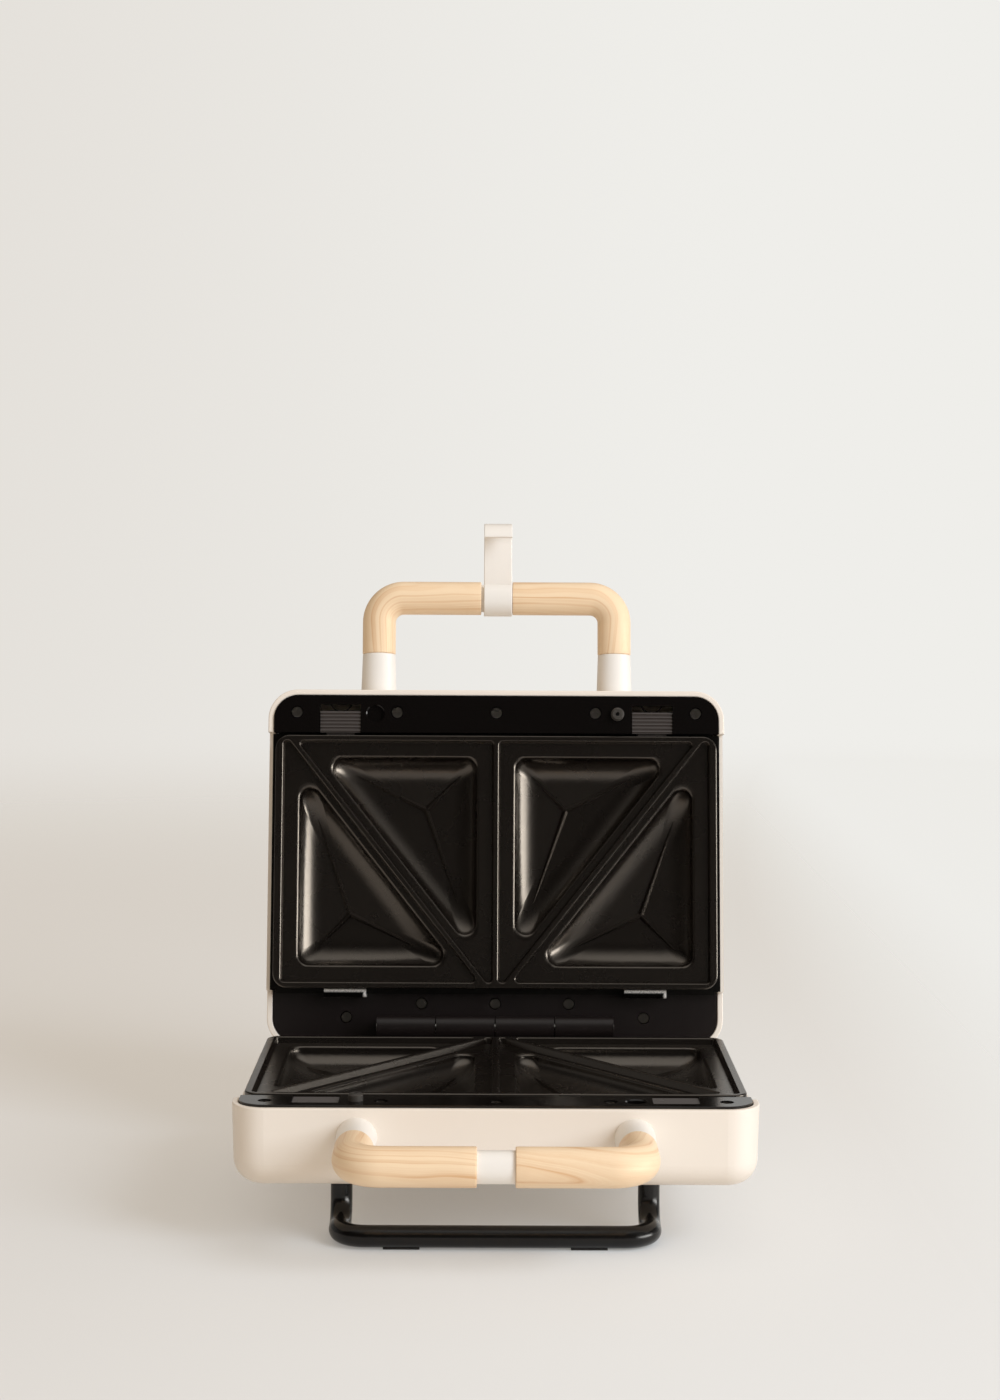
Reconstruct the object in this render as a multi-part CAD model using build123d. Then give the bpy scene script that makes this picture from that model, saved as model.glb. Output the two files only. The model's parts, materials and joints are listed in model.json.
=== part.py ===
"""Two-slice sandwich toaster with removable plates, wooden handles and a wire stand, lid open."""

import os
from math import cos, hypot, radians, sin, sqrt, tan

from build123d import *

# Driving dimensions, in millimetres and degrees.
# Every piece is modelled about the hinge: X to the right, Y to the back, Z up, the hinge axis
# along X through the origin.  The lower half is modelled as it stands, the lid is its mirror image.

# Casing
BODY_WIDTH = 230.0
FRONT_LEDGE = 23.2  # plate's front edge to front face, at the rim
BODY_REAR = 11.0  # hinge axis to rear face, at the rim
HALF_HEIGHT = 36.8  # rim to outer face of one half
SHELL_WALL = 2.8
SHELL_DRAFT = 1.5
PLAN_RADIUS = 15.0
EDGE_RADIUS = 11.0
RIM_GAP = 1.0  # between the two plates' rims when shut
RIM_DROP = 1.5  # the casing's front edge stands this far under the plate's rim
SIDE_DROP = 9.0  # side walls stop this far under the rim beside the plate
REAR_DROP = 13.0  # rear walls stop this far under the rim, to let the lid swing
OPEN_ANGLE = 100.0
BOSS_RADIUS = 3.6
RIM_EDGE = 0.6
FIT = 0.2  # clearance of a piece that is dropped into its seat
TOUCH = 0.05  # clearance of a pin or screw in its hole
CLEAR = 0.3  # clearance between faces that must not rub

# Baking plates
PLATE_MARGIN = 4.0  # casing's side to the plate
PLATE_DEPTH = 126.6
PLATE_SETBACK = 19.2  # hinge axis to the plate's rear edge
PLATE_CORNER = 7.0
PLATE_RIM_SIDE = 3.7
PLATE_RIM_END = 2.8
PLATE_SHEET = 2.2
PLATE_SKIRT = 8.0  # rim to the plate's lower edge
SKIRT_WALL = 2.5
CELL_DEPTH = 3.0
CELL_CORNER = 2.0
CELL_TAPER = 16.0
RIDGE_WIDTH = 2.4  # between two cells, at the top
RIDGE_INSET = 5.0  # how far the slanting ridge stays off the cell corners
POCKET_MARGIN = 8.6  # cell wall to pocket edge, along the two straight sides
POCKET_SLANT_MARGIN = 4.6  # the same, along the slanting side
POCKET_CORNER = 5.5
POCKET_WALL = 13.0  # width of the pocket's curved wall, seen from above
POCKET_DEPTH = 9.6  # at the foot of the curved wall
POCKET_HIP = 0.5  # further fall from there to the middle
POCKET_STEPS = 6  # outlines that the curved wall is drawn through
POCKET_LIP = 1.3  # radius of the rounded lip
LIP_STEPS = 3
RIB_REACH = 0.68  # share of the way from the pocket's middle to its corner
RIB_ROOT = 1.3  # how deep a rib is let into the floor
RIB_WIDTH = 4.4
RIB_HEIGHT = 2.0
RIB_END_WIDTH = 2.0
RIB_END_HEIGHT = 0.7
PLATE_EDGE_RADIUS = 0.7
LUG_REACH = 2.5
LUG_HEIGHT = 2.2
LUG_WIDTH = 15.0
REAR_LUG_WIDTH = 18.0

# Trims, screws and locating pegs
TRIM_DROP = 0.5  # front trim under the rim
TRIM_THICK = 3.0
TRIM_GAP = 1.4  # front trim to plate
APRON_WALL = 2.0
REAR_TRIM_THICK = 2.5
REAR_WALL = 1.4
SCREW_FRONT_LINE = 11.7  # screw centres in front of the plate
SCREW_CORNER_INSET = 14.5  # casing's side to the corner screws
SCREW_INNER_INSET = 65.0
HINGE_SCREW_X = 37.0
HINGE_SCREW_LINE = 7.6  # screw centres behind the plate
OUTER_SCREW_INSET = 40.3
OUTER_SCREW_LINE = 14.6
SCREW_HEAD_RADIUS = 2.75
SCREW_HEAD_HEIGHT = 1.5
SCREW_SHANK_RADIUS = 1.5
SCREW_LENGTH = 9.0
SCREW_SINK = 0.7  # head under the trim's face
CROSS_WIDTH = 1.0
CROSS_LENGTH = 3.6
CROSS_DEPTH = 1.0
PEG_INSET = 54.0
PEG_LINE = 11.0  # peg centres in front of the plate
PEG_RADIUS = 3.3
PEG_RISE = 3.3
PEG_STEM_RADIUS = 2.0
PEG_HOLE_RADIUS = 4.1
PEG_SOCKET = 2.4  # depth of the hole for the other half's peg
PEG_LEAD = 0.6  # bevel at its mouth

# Hinge
BARREL_RADIUS = 5.5
BARREL_LENGTH = 118.0
KNUCKLES = 4
KNUCKLE_GAP = 0.6
WEB_THICK = 7.0
PIN_RADIUS = 2.0

# Plate hooks and release buttons
HOOK_INSET = 40.0
HOOK_WIDTH = 21.0
HOOK_LEG = 1.7
HOOK_LIP = 2.2
HOOK_ROOT = 1.6  # how deep the leg is let into the rear trim
HOOK_EDGE = 0.9
BUTTON_INSET = 36.4
BUTTON_WIDTH = 20.2
BUTTON_LENGTH = 10.8
BUTTON_SINK = 0.5  # top of the grip ribs under the trim's face
BUTTON_THICK = 2.9
BUTTON_TRAVEL = 3.0
BUTTON_RIBS = 6
BUTTON_RIB_HEIGHT = 0.6
BUTTON_WING = 2.3
BUTTON_WING_THICK = 1.8
TONGUE_WIDTH = 14.0
TONGUE_THICK = 1.8
STEM_WIDTH = 12.0
STEM_LENGTH = 3.0
STEM_HEIGHT = 3.0
SPRING_ROOM = 6.5  # button stem to spring seat, at rest
SPRING_SPAN = 11.0
SPRING_STRIP = 0.4
SPRING_SEAT = 1.0

# Handles and latch
HANDLE_REACH = 48.6  # front face to the bar's axis
HANDLE_INSET = 55.0  # casing's side to the leg's axis
HANDLE_OFFSET = 14.7  # hinge plane to the bar's axis
HANDLE_BEND = 12.5
GRIP_DIAMETER = 16.9
GRIP_EDGE = 0.6
FERRULE_DIAMETER = 16.6
FERRULE_FLARE = 18.0  # at the casing
FERRULE_LENGTH = 19.5
FERRULE_EDGE = 0.5
ROD_DIAMETER = 8.0
ROD_TAIL = 11.0  # rod inside the casing
SLEEVE_LENGTH = 15.8
LID_SLEEVE_DIAMETER = 14.0
BASE_SLEEVE_DIAMETER = 13.8
NUT_ACROSS = 12.0
NUT_THICK = 5.0
WASHER_RADIUS = 8.0
WASHER_THICK = 1.2
LATCH_WIDTH = 14.4
LATCH_PLAY = 0.1  # between the clip and the right grip
LATCH_STRIP = 2.1
LATCH_WRAP = 43.0  # how far the wrap runs on past the bar's face
LATCH_TIP = 7.0  # how far the hook stops short of a half turn
LATCH_EDGE = 0.5

# Stand
STAND_ROD = 9.7
STAND_INSET = 46.5
STAND_RUN = 26.0  # leg to cross bar
STAND_BEND = 12.0
STAND_SETBACK = 11.3  # front face to the front cross bar's axis
TABLE_DROP = 65.6  # lower rim to table
PAD_THICK = 0.5
PAD_LENGTH = 16.0
PAD_WIDTH = 4.0
PAD_INSET = 27.5  # leg to the middle of a pad
STAND_SCREW_RADIUS = 2.0
STAND_SCREW_HEAD = 3.8
STAND_SCREW_HEAD_HEIGHT = 2.4
STAND_SCREW_LENGTH = 16.0

# Heating and electrical pieces
TRAY_SHEET = 0.8
TRAY_FLANGE = 1.0
TRAY_DEPTH = 18.5  # flange to floor
TRAY_SIDE_INSET = 4.5  # pan wall inside the plate's outline
TRAY_SIDE_LAP = 1.0  # flange over the casing's side wall
TRAY_APRON_LAP = 1.5  # flange under the front trim's apron
HEATER_DIAMETER = 6.5
HEATER_INSET = 31.0
HEATER_TAIL_X = 22.0
HEATER_FRONT = 22.0  # loop inside the plate's front edge
HEATER_REAR = 24.0
HEATER_BEND = 15.0
HEATER_GAP = 0.4  # under the pockets
INSULATOR_DIAMETER = 5.0
INSULATOR_LENGTH = 5.0
CRADLE_LENGTH = 10.0
CRADLE_WIDTH = 8.0
THERMOSTAT_RADIUS = 8.0
THERMOSTAT_HEIGHT = 4.5
FUSE_RADIUS = 2.0
FUSE_LENGTH = 14.0
BLOCK_INSET = 63.0
BLOCK_LENGTH = 20.0
BLOCK_WIDTH = 11.0
BLOCK_HEIGHT = 6.0
BLOCK_POLES = 3
LEAD_DIAMETER = 2.2
LEAD_BEND = 4.0
GLAND_X = -40.0
GLAND_BORE = 3.2
GLAND_NECK = 4.5
GLAND_FLANGE = 5.8
GLAND_FLANGE_THICK = 2.5
LAMP_X = 9.0
LAMP_SETBACK = 26.0  # front face to lamp centre
LAMP_RADIUS = 3.0
LAMP_FLANGE = 4.2
LAMP_FLANGE_THICK = 1.2
LAMP_STEM = 9.0

# Heights and places worked out from the driving dimensions
HALF_WIDTH = BODY_WIDTH / 2
PLATE_WIDTH = BODY_WIDTH - 2 * PLATE_MARGIN
BODY_FRONT = PLATE_SETBACK + PLATE_DEPTH + FRONT_LEDGE  # hinge axis to front face
SCREW_CORNER_X = HALF_WIDTH - SCREW_CORNER_INSET
SCREW_INNER_X = HALF_WIDTH - SCREW_INNER_INSET
OUTER_SCREW_X = HALF_WIDTH - OUTER_SCREW_INSET
PEG_X = HALF_WIDTH - PEG_INSET
HOOK_X = HALF_WIDTH - HOOK_INSET
BUTTON_X = HALF_WIDTH - BUTTON_INSET
LEG_X = HALF_WIDTH - HANDLE_INSET
STAND_LEG_X = HALF_WIDTH - STAND_INSET
PAD_X = STAND_LEG_X - PAD_INSET
HEATER_X = HALF_WIDTH - HEATER_INSET
CRADLE_X = (HEATER_X + HEATER_TAIL_X) / 2
BLOCK_X = HALF_WIDTH - BLOCK_INSET
RIM_Z = -RIM_GAP / 2
SHELL_Z = RIM_Z - HALF_HEIGHT
FLOOR_Z = SHELL_Z + SHELL_WALL
FRONT_RIM_Z = RIM_Z - RIM_DROP
SIDE_Z = RIM_Z - SIDE_DROP
REAR_Z = RIM_Z - REAR_DROP
TRIM_Z = RIM_Z - TRIM_DROP
TRIM_UNDER_Z = TRIM_Z - TRIM_THICK
SKIRT_Z = RIM_Z - PLATE_SKIRT
CELL_Z = RIM_Z - CELL_DEPTH
POCKET_Z = CELL_Z - POCKET_DEPTH
HIP_Z = POCKET_Z - POCKET_HIP
POCKET_UNDER_Z = HIP_Z - PLATE_SHEET
PLATE_REAR_Y = -PLATE_SETBACK
PLATE_FRONT_Y = PLATE_REAR_Y - PLATE_DEPTH
PLATE_MID_Y = (PLATE_REAR_Y + PLATE_FRONT_Y) / 2
BODY_MID_Y = (BODY_REAR - BODY_FRONT) / 2
TRIM_REAR_Y = PLATE_FRONT_Y - TRIM_GAP
APRON_FRONT_Y = TRIM_REAR_Y - APRON_WALL
STEP_Y = PLATE_REAR_Y + TRIM_GAP  # where the rear walls drop
SCREW_Y = PLATE_FRONT_Y - SCREW_FRONT_LINE
HINGE_SCREW_Y = PLATE_REAR_Y + HINGE_SCREW_LINE
OUTER_SCREW_Y = PLATE_REAR_Y + OUTER_SCREW_LINE
PEG_Y = PLATE_FRONT_Y - PEG_LINE
BAR_Y = -BODY_FRONT - HANDLE_REACH
GRIP_END_Y = -BODY_FRONT - FERRULE_LENGTH
FLANGE_Z = SKIRT_Z - TRAY_FLANGE
TRAY_FLOOR_Z = SKIRT_Z - TRAY_DEPTH
TRAY_UNDER_Z = TRAY_FLOOR_Z - TRAY_SHEET
FLANGE_FRONT_Y = APRON_FRONT_Y - TRAY_APRON_LAP
FLANGE_REAR_Y = STEP_Y + REAR_WALL
HEATER_Z = POCKET_UNDER_Z - HEATER_GAP - HEATER_DIAMETER / 2
HEATER_END_Y = PLATE_REAR_Y + LUG_REACH + CLEAR
HOOK_LEG_Y = PLATE_REAR_Y + LUG_REACH + CLEAR
TABLE_Z = RIM_Z - TABLE_DROP
STAND_Z = TABLE_Z + PAD_THICK + STAND_ROD / 2
GLAND_Z = REAR_Z - REAR_TRIM_THICK - GLAND_FLANGE - CLEAR
BUTTON_FRONT_Y = TRIM_REAR_Y - BUTTON_LENGTH
WING_Z = TRIM_UNDER_Z - FIT
STEM_Z = WING_Z - BUTTON_WING_THICK - STEM_HEIGHT
STEM_FRONT_Y = BUTTON_FRONT_Y + CLEAR
SPRING_SEAT_Y = STEM_FRONT_Y - SPRING_ROOM
LEAD_Z = TRAY_UNDER_Z - FUSE_RADIUS - TOUCH
FUSE_Y = PLATE_MID_Y - 5 * THERMOSTAT_RADIUS
THERMOSTAT_TABS = 2 * THERMOSTAT_RADIUS
BLOCK_Y = HINGE_SCREW_Y - BOSS_RADIUS - CLEAR - BLOCK_WIDTH / 2
GLAND_INNER_Y = BODY_REAR - 2 * SHELL_WALL
STAND_BAR_Y = -BODY_FRONT + STAND_SETBACK
TALL = 4 * HALF_HEIGHT  # taller than anything that is cut away

HINGE_SCREWS = [(x, HINGE_SCREW_Y) for x in (-HINGE_SCREW_X, 0.0, HINGE_SCREW_X)]
OUTER_SCREWS = [(x, OUTER_SCREW_Y) for x in (-OUTER_SCREW_X, OUTER_SCREW_X)]
REAR_SCREWS = HINGE_SCREWS + OUTER_SCREWS
FRONT_SCREWS = [
    (x, SCREW_Y) for x in (-SCREW_CORNER_X, -SCREW_INNER_X, 0.0, SCREW_INNER_X, SCREW_CORNER_X)
]
SIDES = (-1, 1)


def block(x, y, z):
    """A box between two corners, each axis given as (low, high)."""
    size = [high - low for low, high in (x, y, z)]
    middle = [(high + low) / 2 for low, high in (x, y, z)]
    return Pos(*middle) * Box(*size)


def post(x, y, z, radius):
    """An upright cylinder from z[0] to z[1]."""
    return Pos(x, y, (z[0] + z[1]) / 2) * Cylinder(radius, z[1] - z[0])


def bar_x(x, y, z, radius):
    """A cylinder along X from x[0] to x[1]."""
    return Pos((x[0] + x[1]) / 2, y, z) * Rot(Y=90) * Cylinder(radius, x[1] - x[0])


def bar_y(x, y, z, radius):
    """A cylinder along Y from y[0] to y[1]."""
    return Pos(x, (y[0] + y[1]) / 2, z) * Rot(X=90) * Cylinder(radius, y[1] - y[0])


def about(centre, half):
    """The span that reaches half to each side of a centre."""
    return (centre - half, centre + half)


def tube(points, radius, bend):
    """A round rod along straight runs joined by tangent arcs."""
    path = FilletPolyline(*points, radius=bend)
    section = Plane(origin=path @ 0, z_dir=path % 0) * Circle(radius)
    return sweep(section, path=path)


def group(solids):
    """Several loose solids as one node."""
    return Compound(children=[s for shape in solids for s in shape.solids()])


# Casing


def shell_solid(inset, floor):
    """The casing's outer form, or its hollow when inset by the wall."""
    outline = Pos(0, BODY_MID_Y, RIM_Z) * RectangleRounded(
        BODY_WIDTH - 2 * inset, BODY_FRONT + BODY_REAR - 2 * inset, PLAN_RADIUS - inset
    )
    solid = extrude(outline, amount=RIM_Z - floor, dir=(0, 0, -1), taper=SHELL_DRAFT)
    under = solid.faces().sort_by(Axis.Z)[0]
    return fillet(under.edges(), EDGE_RADIUS - inset)


OUTER_FORM = shell_solid(0.0, SHELL_Z)


def level_edges(shape, z):
    """The edges that lie flat at one height."""
    return shape.edges().filter_by(
        lambda e: abs(e.bounding_box().min.Z - z) < TOUCH and abs(e.bounding_box().max.Z - z) < TOUCH
    )


def shell_half():
    """One moulded casing half, with its screw bosses and the holes for the handle rod."""
    shell = OUTER_FORM - shell_solid(SHELL_WALL, FLOOR_Z)
    wide = about(0.0, BODY_WIDTH)
    shell -= block(wide, (-2 * BODY_FRONT, TRIM_REAR_Y), (FRONT_RIM_Z, TALL))
    shell -= block(wide, (TRIM_REAR_Y, STEP_Y), (SIDE_Z, TALL))
    shell -= block(wide, (STEP_Y, TALL), (REAR_Z, TALL))
    for rim in (FRONT_RIM_Z, REAR_Z):
        shell = fillet(level_edges(shell, rim), RIM_EDGE)
    for places, top in ((FRONT_SCREWS, TRIM_UNDER_Z), (REAR_SCREWS, REAR_Z - REAR_TRIM_THICK)):
        for x, y in places:
            shell += post(x, y, (FLOOR_Z - SHELL_WALL / 2, top), BOSS_RADIUS)
            shell -= post(x, y, (top - SCREW_LENGTH, top), SCREW_SHANK_RADIUS + TOUCH)
    for side in SIDES:
        hole = (BAR_Y, -BODY_FRONT + 2 * SHELL_WALL)
        shell -= bar_y(side * LEG_X, hole, -HANDLE_OFFSET, ROD_DIAMETER / 2 + FIT)
    return shell


def stand_feet():
    """Centres of the four stand legs under the casing, as (x, y)."""
    front = STAND_BAR_Y + STAND_RUN
    rear = 2 * BODY_MID_Y - front
    return [(side * STAND_LEG_X, y) for y in (front, rear) for side in SIDES]


def base_shell():
    """Lower casing, bored for the stand screws and the cord gland."""
    shell = shell_half()
    for x, y in stand_feet():
        shell -= post(x, y, (SHELL_Z - SHELL_WALL, FLOOR_Z + SHELL_WALL), STAND_SCREW_RADIUS + TOUCH)
    return shell - bar_y(GLAND_X, (0.0, 2 * BODY_REAR), GLAND_Z, GLAND_NECK + TOUCH)


def lamp_places():
    """Centres of the two pilot lamps on the lid, as (x, y)."""
    return [(side * LAMP_X, -BODY_FRONT + LAMP_SETBACK) for side in SIDES]


def lid_shell():
    """Upper casing, before it is turned over, bored for the pilot lamps."""
    shell = shell_half()
    for x, y in lamp_places():
        shell -= post(x, y, (SHELL_Z - SHELL_WALL, FLOOR_Z + SHELL_WALL), LAMP_RADIUS + TOUCH)
    return shell


# Front and rear trims


def trim_sheet(y, top, thick):
    """A slab of the casing's inner outline between two Y limits."""
    inset = SHELL_WALL + FIT + (RIM_Z - top + thick) * tan(radians(SHELL_DRAFT))
    outline = Pos(0, BODY_MID_Y, top) * RectangleRounded(
        BODY_WIDTH - 2 * inset, BODY_FRONT + BODY_REAR - 2 * inset, PLAN_RADIUS - inset
    )
    slab = extrude(outline, amount=thick, dir=(0, 0, -1))
    return slab & block(about(0.0, BODY_WIDTH), y, (top - thick, top))


def screw_seat(x, y, top, depth):
    """Clearance hole and counterbore for one trim screw."""
    sink = SCREW_SINK + SCREW_HEAD_HEIGHT
    hole = post(x, y, (top - depth, top), SCREW_SHANK_RADIUS + FIT)
    return hole + post(x, y, (top - sink, top), SCREW_HEAD_RADIUS + CLEAR)


def front_trim(peg_side):
    """Black strip in front of the plate: screw seats, button slots, a peg seat and a peg hole."""
    trim = trim_sheet((-BODY_FRONT, TRIM_REAR_Y), TRIM_Z, TRIM_THICK)
    apron_x = about(0.0, BODY_WIDTH / 2 - SHELL_WALL - CLEAR - SIDE_DROP * tan(radians(SHELL_DRAFT)))
    trim += block(apron_x, (APRON_FRONT_Y, TRIM_REAR_Y), (SKIRT_Z, TRIM_UNDER_Z))
    for x, y in FRONT_SCREWS:
        trim -= screw_seat(x, y, TRIM_Z, TRIM_THICK)
    slot_front = TRIM_REAR_Y - BUTTON_LENGTH - BUTTON_TRAVEL - CLEAR
    for side in SIDES:
        slot_x = about(side * BUTTON_X, BUTTON_WIDTH / 2 + FIT)
        trim -= block(slot_x, (slot_front, TRIM_REAR_Y), (SKIRT_Z, TRIM_Z))
        seat_y = (SPRING_SEAT_Y - SPRING_SEAT, SPRING_SEAT_Y)
        trim += block(about(side * BUTTON_X, STEM_WIDTH / 2), seat_y, (STEM_Z, TRIM_UNDER_Z))
    trim -= post(peg_side * PEG_X, PEG_Y, (TRIM_UNDER_Z, TRIM_Z), PEG_STEM_RADIUS + TOUCH)
    trim -= post(-peg_side * PEG_X, PEG_Y, (TRIM_Z - PEG_SOCKET, TRIM_Z), PEG_HOLE_RADIUS)
    mouth = Cone(PEG_HOLE_RADIUS, PEG_HOLE_RADIUS + PEG_LEAD, PEG_LEAD)
    return trim - Pos(-peg_side * PEG_X, PEG_Y, TRIM_Z - PEG_LEAD / 2) * mouth


def knuckle_spans(first):
    """X spans of every second hinge knuckle, starting with the first or the second."""
    pitch = BARREL_LENGTH / KNUCKLES
    starts = [-BARREL_LENGTH / 2 + i * pitch for i in range(first, KNUCKLES, 2)]
    return [(s + KNUCKLE_GAP / 2, s + pitch - KNUCKLE_GAP / 2) for s in starts]


def rear_trim(first, bore):
    """Black strip behind the plate, which carries this half's hinge knuckles."""
    back = BODY_REAR - SHELL_WALL - FIT
    trim = trim_sheet((STEP_Y, back), REAR_Z, REAR_TRIM_THICK)
    wall_x = about(0.0, PLATE_WIDTH / 2)
    trim += block(wall_x, (STEP_Y, STEP_Y + REAR_WALL), (REAR_Z, FLANGE_Z))
    for x, y in REAR_SCREWS:
        trim -= screw_seat(x, y, REAR_Z, REAR_TRIM_THICK)
    root_y = (HOOK_LEG_Y - TOUCH, HOOK_LEG_Y + HOOK_LEG + TOUCH)
    for side in SIDES:
        root_x = about(side * HOOK_X, HOOK_WIDTH / 2 + TOUCH)
        trim -= block(root_x, root_y, (REAR_Z - HOOK_ROOT, REAR_Z))
    for span in knuckle_spans(first):
        web = block(span, about(0.0, WEB_THICK / 2), (REAR_Z, 0.0))
        web += bar_x(span, 0.0, 0.0, BARREL_RADIUS)
        for x, y in HINGE_SCREWS:
            web -= post(x, y, (REAR_Z, 0.0), SCREW_HEAD_RADIUS + CLEAR)
        trim += web
    return trim - bar_x(about(0.0, BARREL_LENGTH / 2), 0.0, 0.0, bore)


def hinge_pin():
    """Steel pin through all the knuckles."""
    return bar_x(about(0.0, BARREL_LENGTH / 2), 0.0, 0.0, PIN_RADIUS)


def screw(x, y, top):
    """A cross-head screw whose head's top face is at a given height."""
    neck = top - SCREW_HEAD_HEIGHT
    body = post(x, y, (neck, top), SCREW_HEAD_RADIUS)
    body = fillet(body.edges().group_by(Axis.Z)[-1], SCREW_HEAD_HEIGHT / 3)
    body += post(x, y, (neck - SCREW_LENGTH, neck), SCREW_SHANK_RADIUS)
    long, thin = CROSS_LENGTH / 2, CROSS_WIDTH / 2
    for half_x, half_y in ((long, thin), (thin, long)):
        body -= block(about(x, half_x), about(y, half_y), (top - CROSS_DEPTH, top))
    return body


def trim_screws():
    """All ten trim screws of one half."""
    front = [screw(x, y, TRIM_Z - SCREW_SINK) for x, y in FRONT_SCREWS]
    return group(front + [screw(x, y, REAR_Z - SCREW_SINK) for x, y in REAR_SCREWS])


def locating_peg(side):
    """Peg on one front trim that enters the hole in the other as the lid shuts."""
    x = side * PEG_X
    peg = post(x, PEG_Y, (TRIM_Z, TRIM_Z + PEG_RISE), PEG_RADIUS)
    peg = chamfer(peg.edges().group_by(Axis.Z)[-1], PEG_RADIUS / 4)
    peg += post(x, PEG_Y, (TRIM_UNDER_Z, TRIM_Z), PEG_STEM_RADIUS)
    return peg - post(x, PEG_Y, (TRIM_UNDER_Z, TRIM_Z + PEG_RISE), PEG_STEM_RADIUS / 2)


# Baking plate


def crossing(a, b):
    """Where two lines meet, each given as a point and a direction."""
    (ax, ay), (adx, ady) = a
    (bx, by), (bdx, bdy) = b
    t = ((bx - ax) * bdy - (by - ay) * bdx) / (adx * bdy - ady * bdx)
    return (ax + t * adx, ay + t * ady)


def inset_corners(corners, margins):
    """Corners of a counter-clockwise polygon with each side moved inwards by its own margin."""
    sides = []
    for (x0, y0), (x1, y1), margin in zip(corners, corners[1:] + corners[:1], margins):
        length = hypot(x1 - x0, y1 - y0)
        dx, dy = (x1 - x0) / length, (y1 - y0) / length
        sides.append(((x0 - dy * margin, y0 + dx * margin), (dx, dy)))
    return [crossing(sides[i - 1], sides[i]) for i in range(len(sides))]


def rounded(corners, radius, z):
    """A flat face with rounded corners at a height."""
    outline = make_face(Polyline(*[(x, y) for x, y in corners], close=True))
    return Pos(0, 0, z) * fillet(outline.vertices(), radius)


def cell_corners():
    """The two cells of the plate's right half, each counter-clockwise: hinge side, then front."""
    inner, outer = RIDGE_WIDTH / 2, PLATE_WIDTH / 2 - PLATE_RIM_SIDE
    rear, front = PLATE_REAR_Y - PLATE_RIM_END, PLATE_FRONT_Y + PLATE_RIM_END
    foot, head = (inner + RIDGE_INSET, rear), (outer - RIDGE_INSET, front)
    slope = hypot(head[0] - foot[0], head[1] - foot[1]) / (foot[1] - head[1])
    half_ridge = RIDGE_WIDTH / 2 * slope
    inside = [(inner, front), (head[0] - half_ridge, front)]
    inside += [(foot[0] - half_ridge, rear), (inner, rear)]
    outside = [(outer, rear), (foot[0] + half_ridge, rear)]
    outside += [(head[0] + half_ridge, front), (outer, front)]
    return inside, outside


def pocket_corners():
    """The two triangular pockets of the plate's right half, each with its right angle first."""
    pockets = []
    margins = (POCKET_MARGIN, POCKET_SLANT_MARGIN, POCKET_MARGIN, POCKET_MARGIN)
    for cell in cell_corners():
        moved = inset_corners(cell, margins)
        straight = (moved[3], (moved[0][0] - moved[3][0], moved[0][1] - moved[3][1]))
        slanting = (moved[1], (moved[2][0] - moved[1][0], moved[2][1] - moved[1][1]))
        pockets.append([moved[0], moved[1], crossing(straight, slanting)])
    return pockets


def in_circle(corners):
    """Centre and radius of a triangle's inscribed circle."""
    (ax, ay), (bx, by), (cx, cy) = corners
    a, b, c = hypot(bx - cx, by - cy), hypot(ax - cx, ay - cy), hypot(ax - bx, ay - by)
    round_trip = a + b + c
    centre = ((a * ax + b * bx + c * cx) / round_trip, (a * ay + b * by + c * cy) / round_trip)
    area = abs((bx - ax) * (cy - ay) - (cx - ax) * (by - ay)) / 2
    return centre, 2 * area / round_trip


def lip_profile():
    """The pocket's rounded lip: inset from the pocket's outline and depth under the cell floor."""
    turns = [radians(90.0 * i / LIP_STEPS) for i in range(LIP_STEPS + 1)]
    return [(POCKET_LIP * (sin(t) - 1), POCKET_LIP * (1 - cos(t))) for t in turns]


def wall_profile():
    """The pocket's wall under the lip, a quarter of an ellipse, as inset and depth."""
    turns = [radians(90.0 * i / POCKET_STEPS) for i in range(POCKET_STEPS + 1)]
    fall = POCKET_DEPTH - POCKET_LIP
    return [(POCKET_WALL * (1 - cos(t)), POCKET_LIP + fall * sin(t)) for t in turns]


def pocket_outline(corners, inset, depth):
    """One level outline of a pocket."""
    radius = POCKET_CORNER * (1 - inset / POCKET_WALL / 2)
    return rounded(inset_corners(corners, [inset] * 3), radius, CELL_Z - depth)


def pocket_hollow(corners):
    """The space of one pocket: a rounded lip, a curved wall and a shallow three-sided hip."""
    lip = [pocket_outline(corners, inset, depth) for inset, depth in lip_profile()]
    wall = [pocket_outline(corners, inset, depth) for inset, depth in wall_profile()]
    _, reach = in_circle(corners)
    tip = inset_corners(corners, [reach - RIB_WIDTH / 2] * 3)
    hip = [wall[-1], rounded(tip, RIB_WIDTH / 4, HIP_Z)]
    return loft(lip) + loft(wall) + loft(hip, ruled=True)


def pocket_bowl(corners):
    """The outside of one pocket, under the plate's sheet."""
    top = rounded(inset_corners(corners, [-PLATE_SHEET] * 3), POCKET_CORNER, CELL_Z - PLATE_SHEET / 2)
    foot_inset = POCKET_WALL / 4
    foot = rounded(inset_corners(corners, [foot_inset] * 3), POCKET_CORNER, POCKET_UNDER_Z)
    return loft([top, foot], ruled=True)


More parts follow.
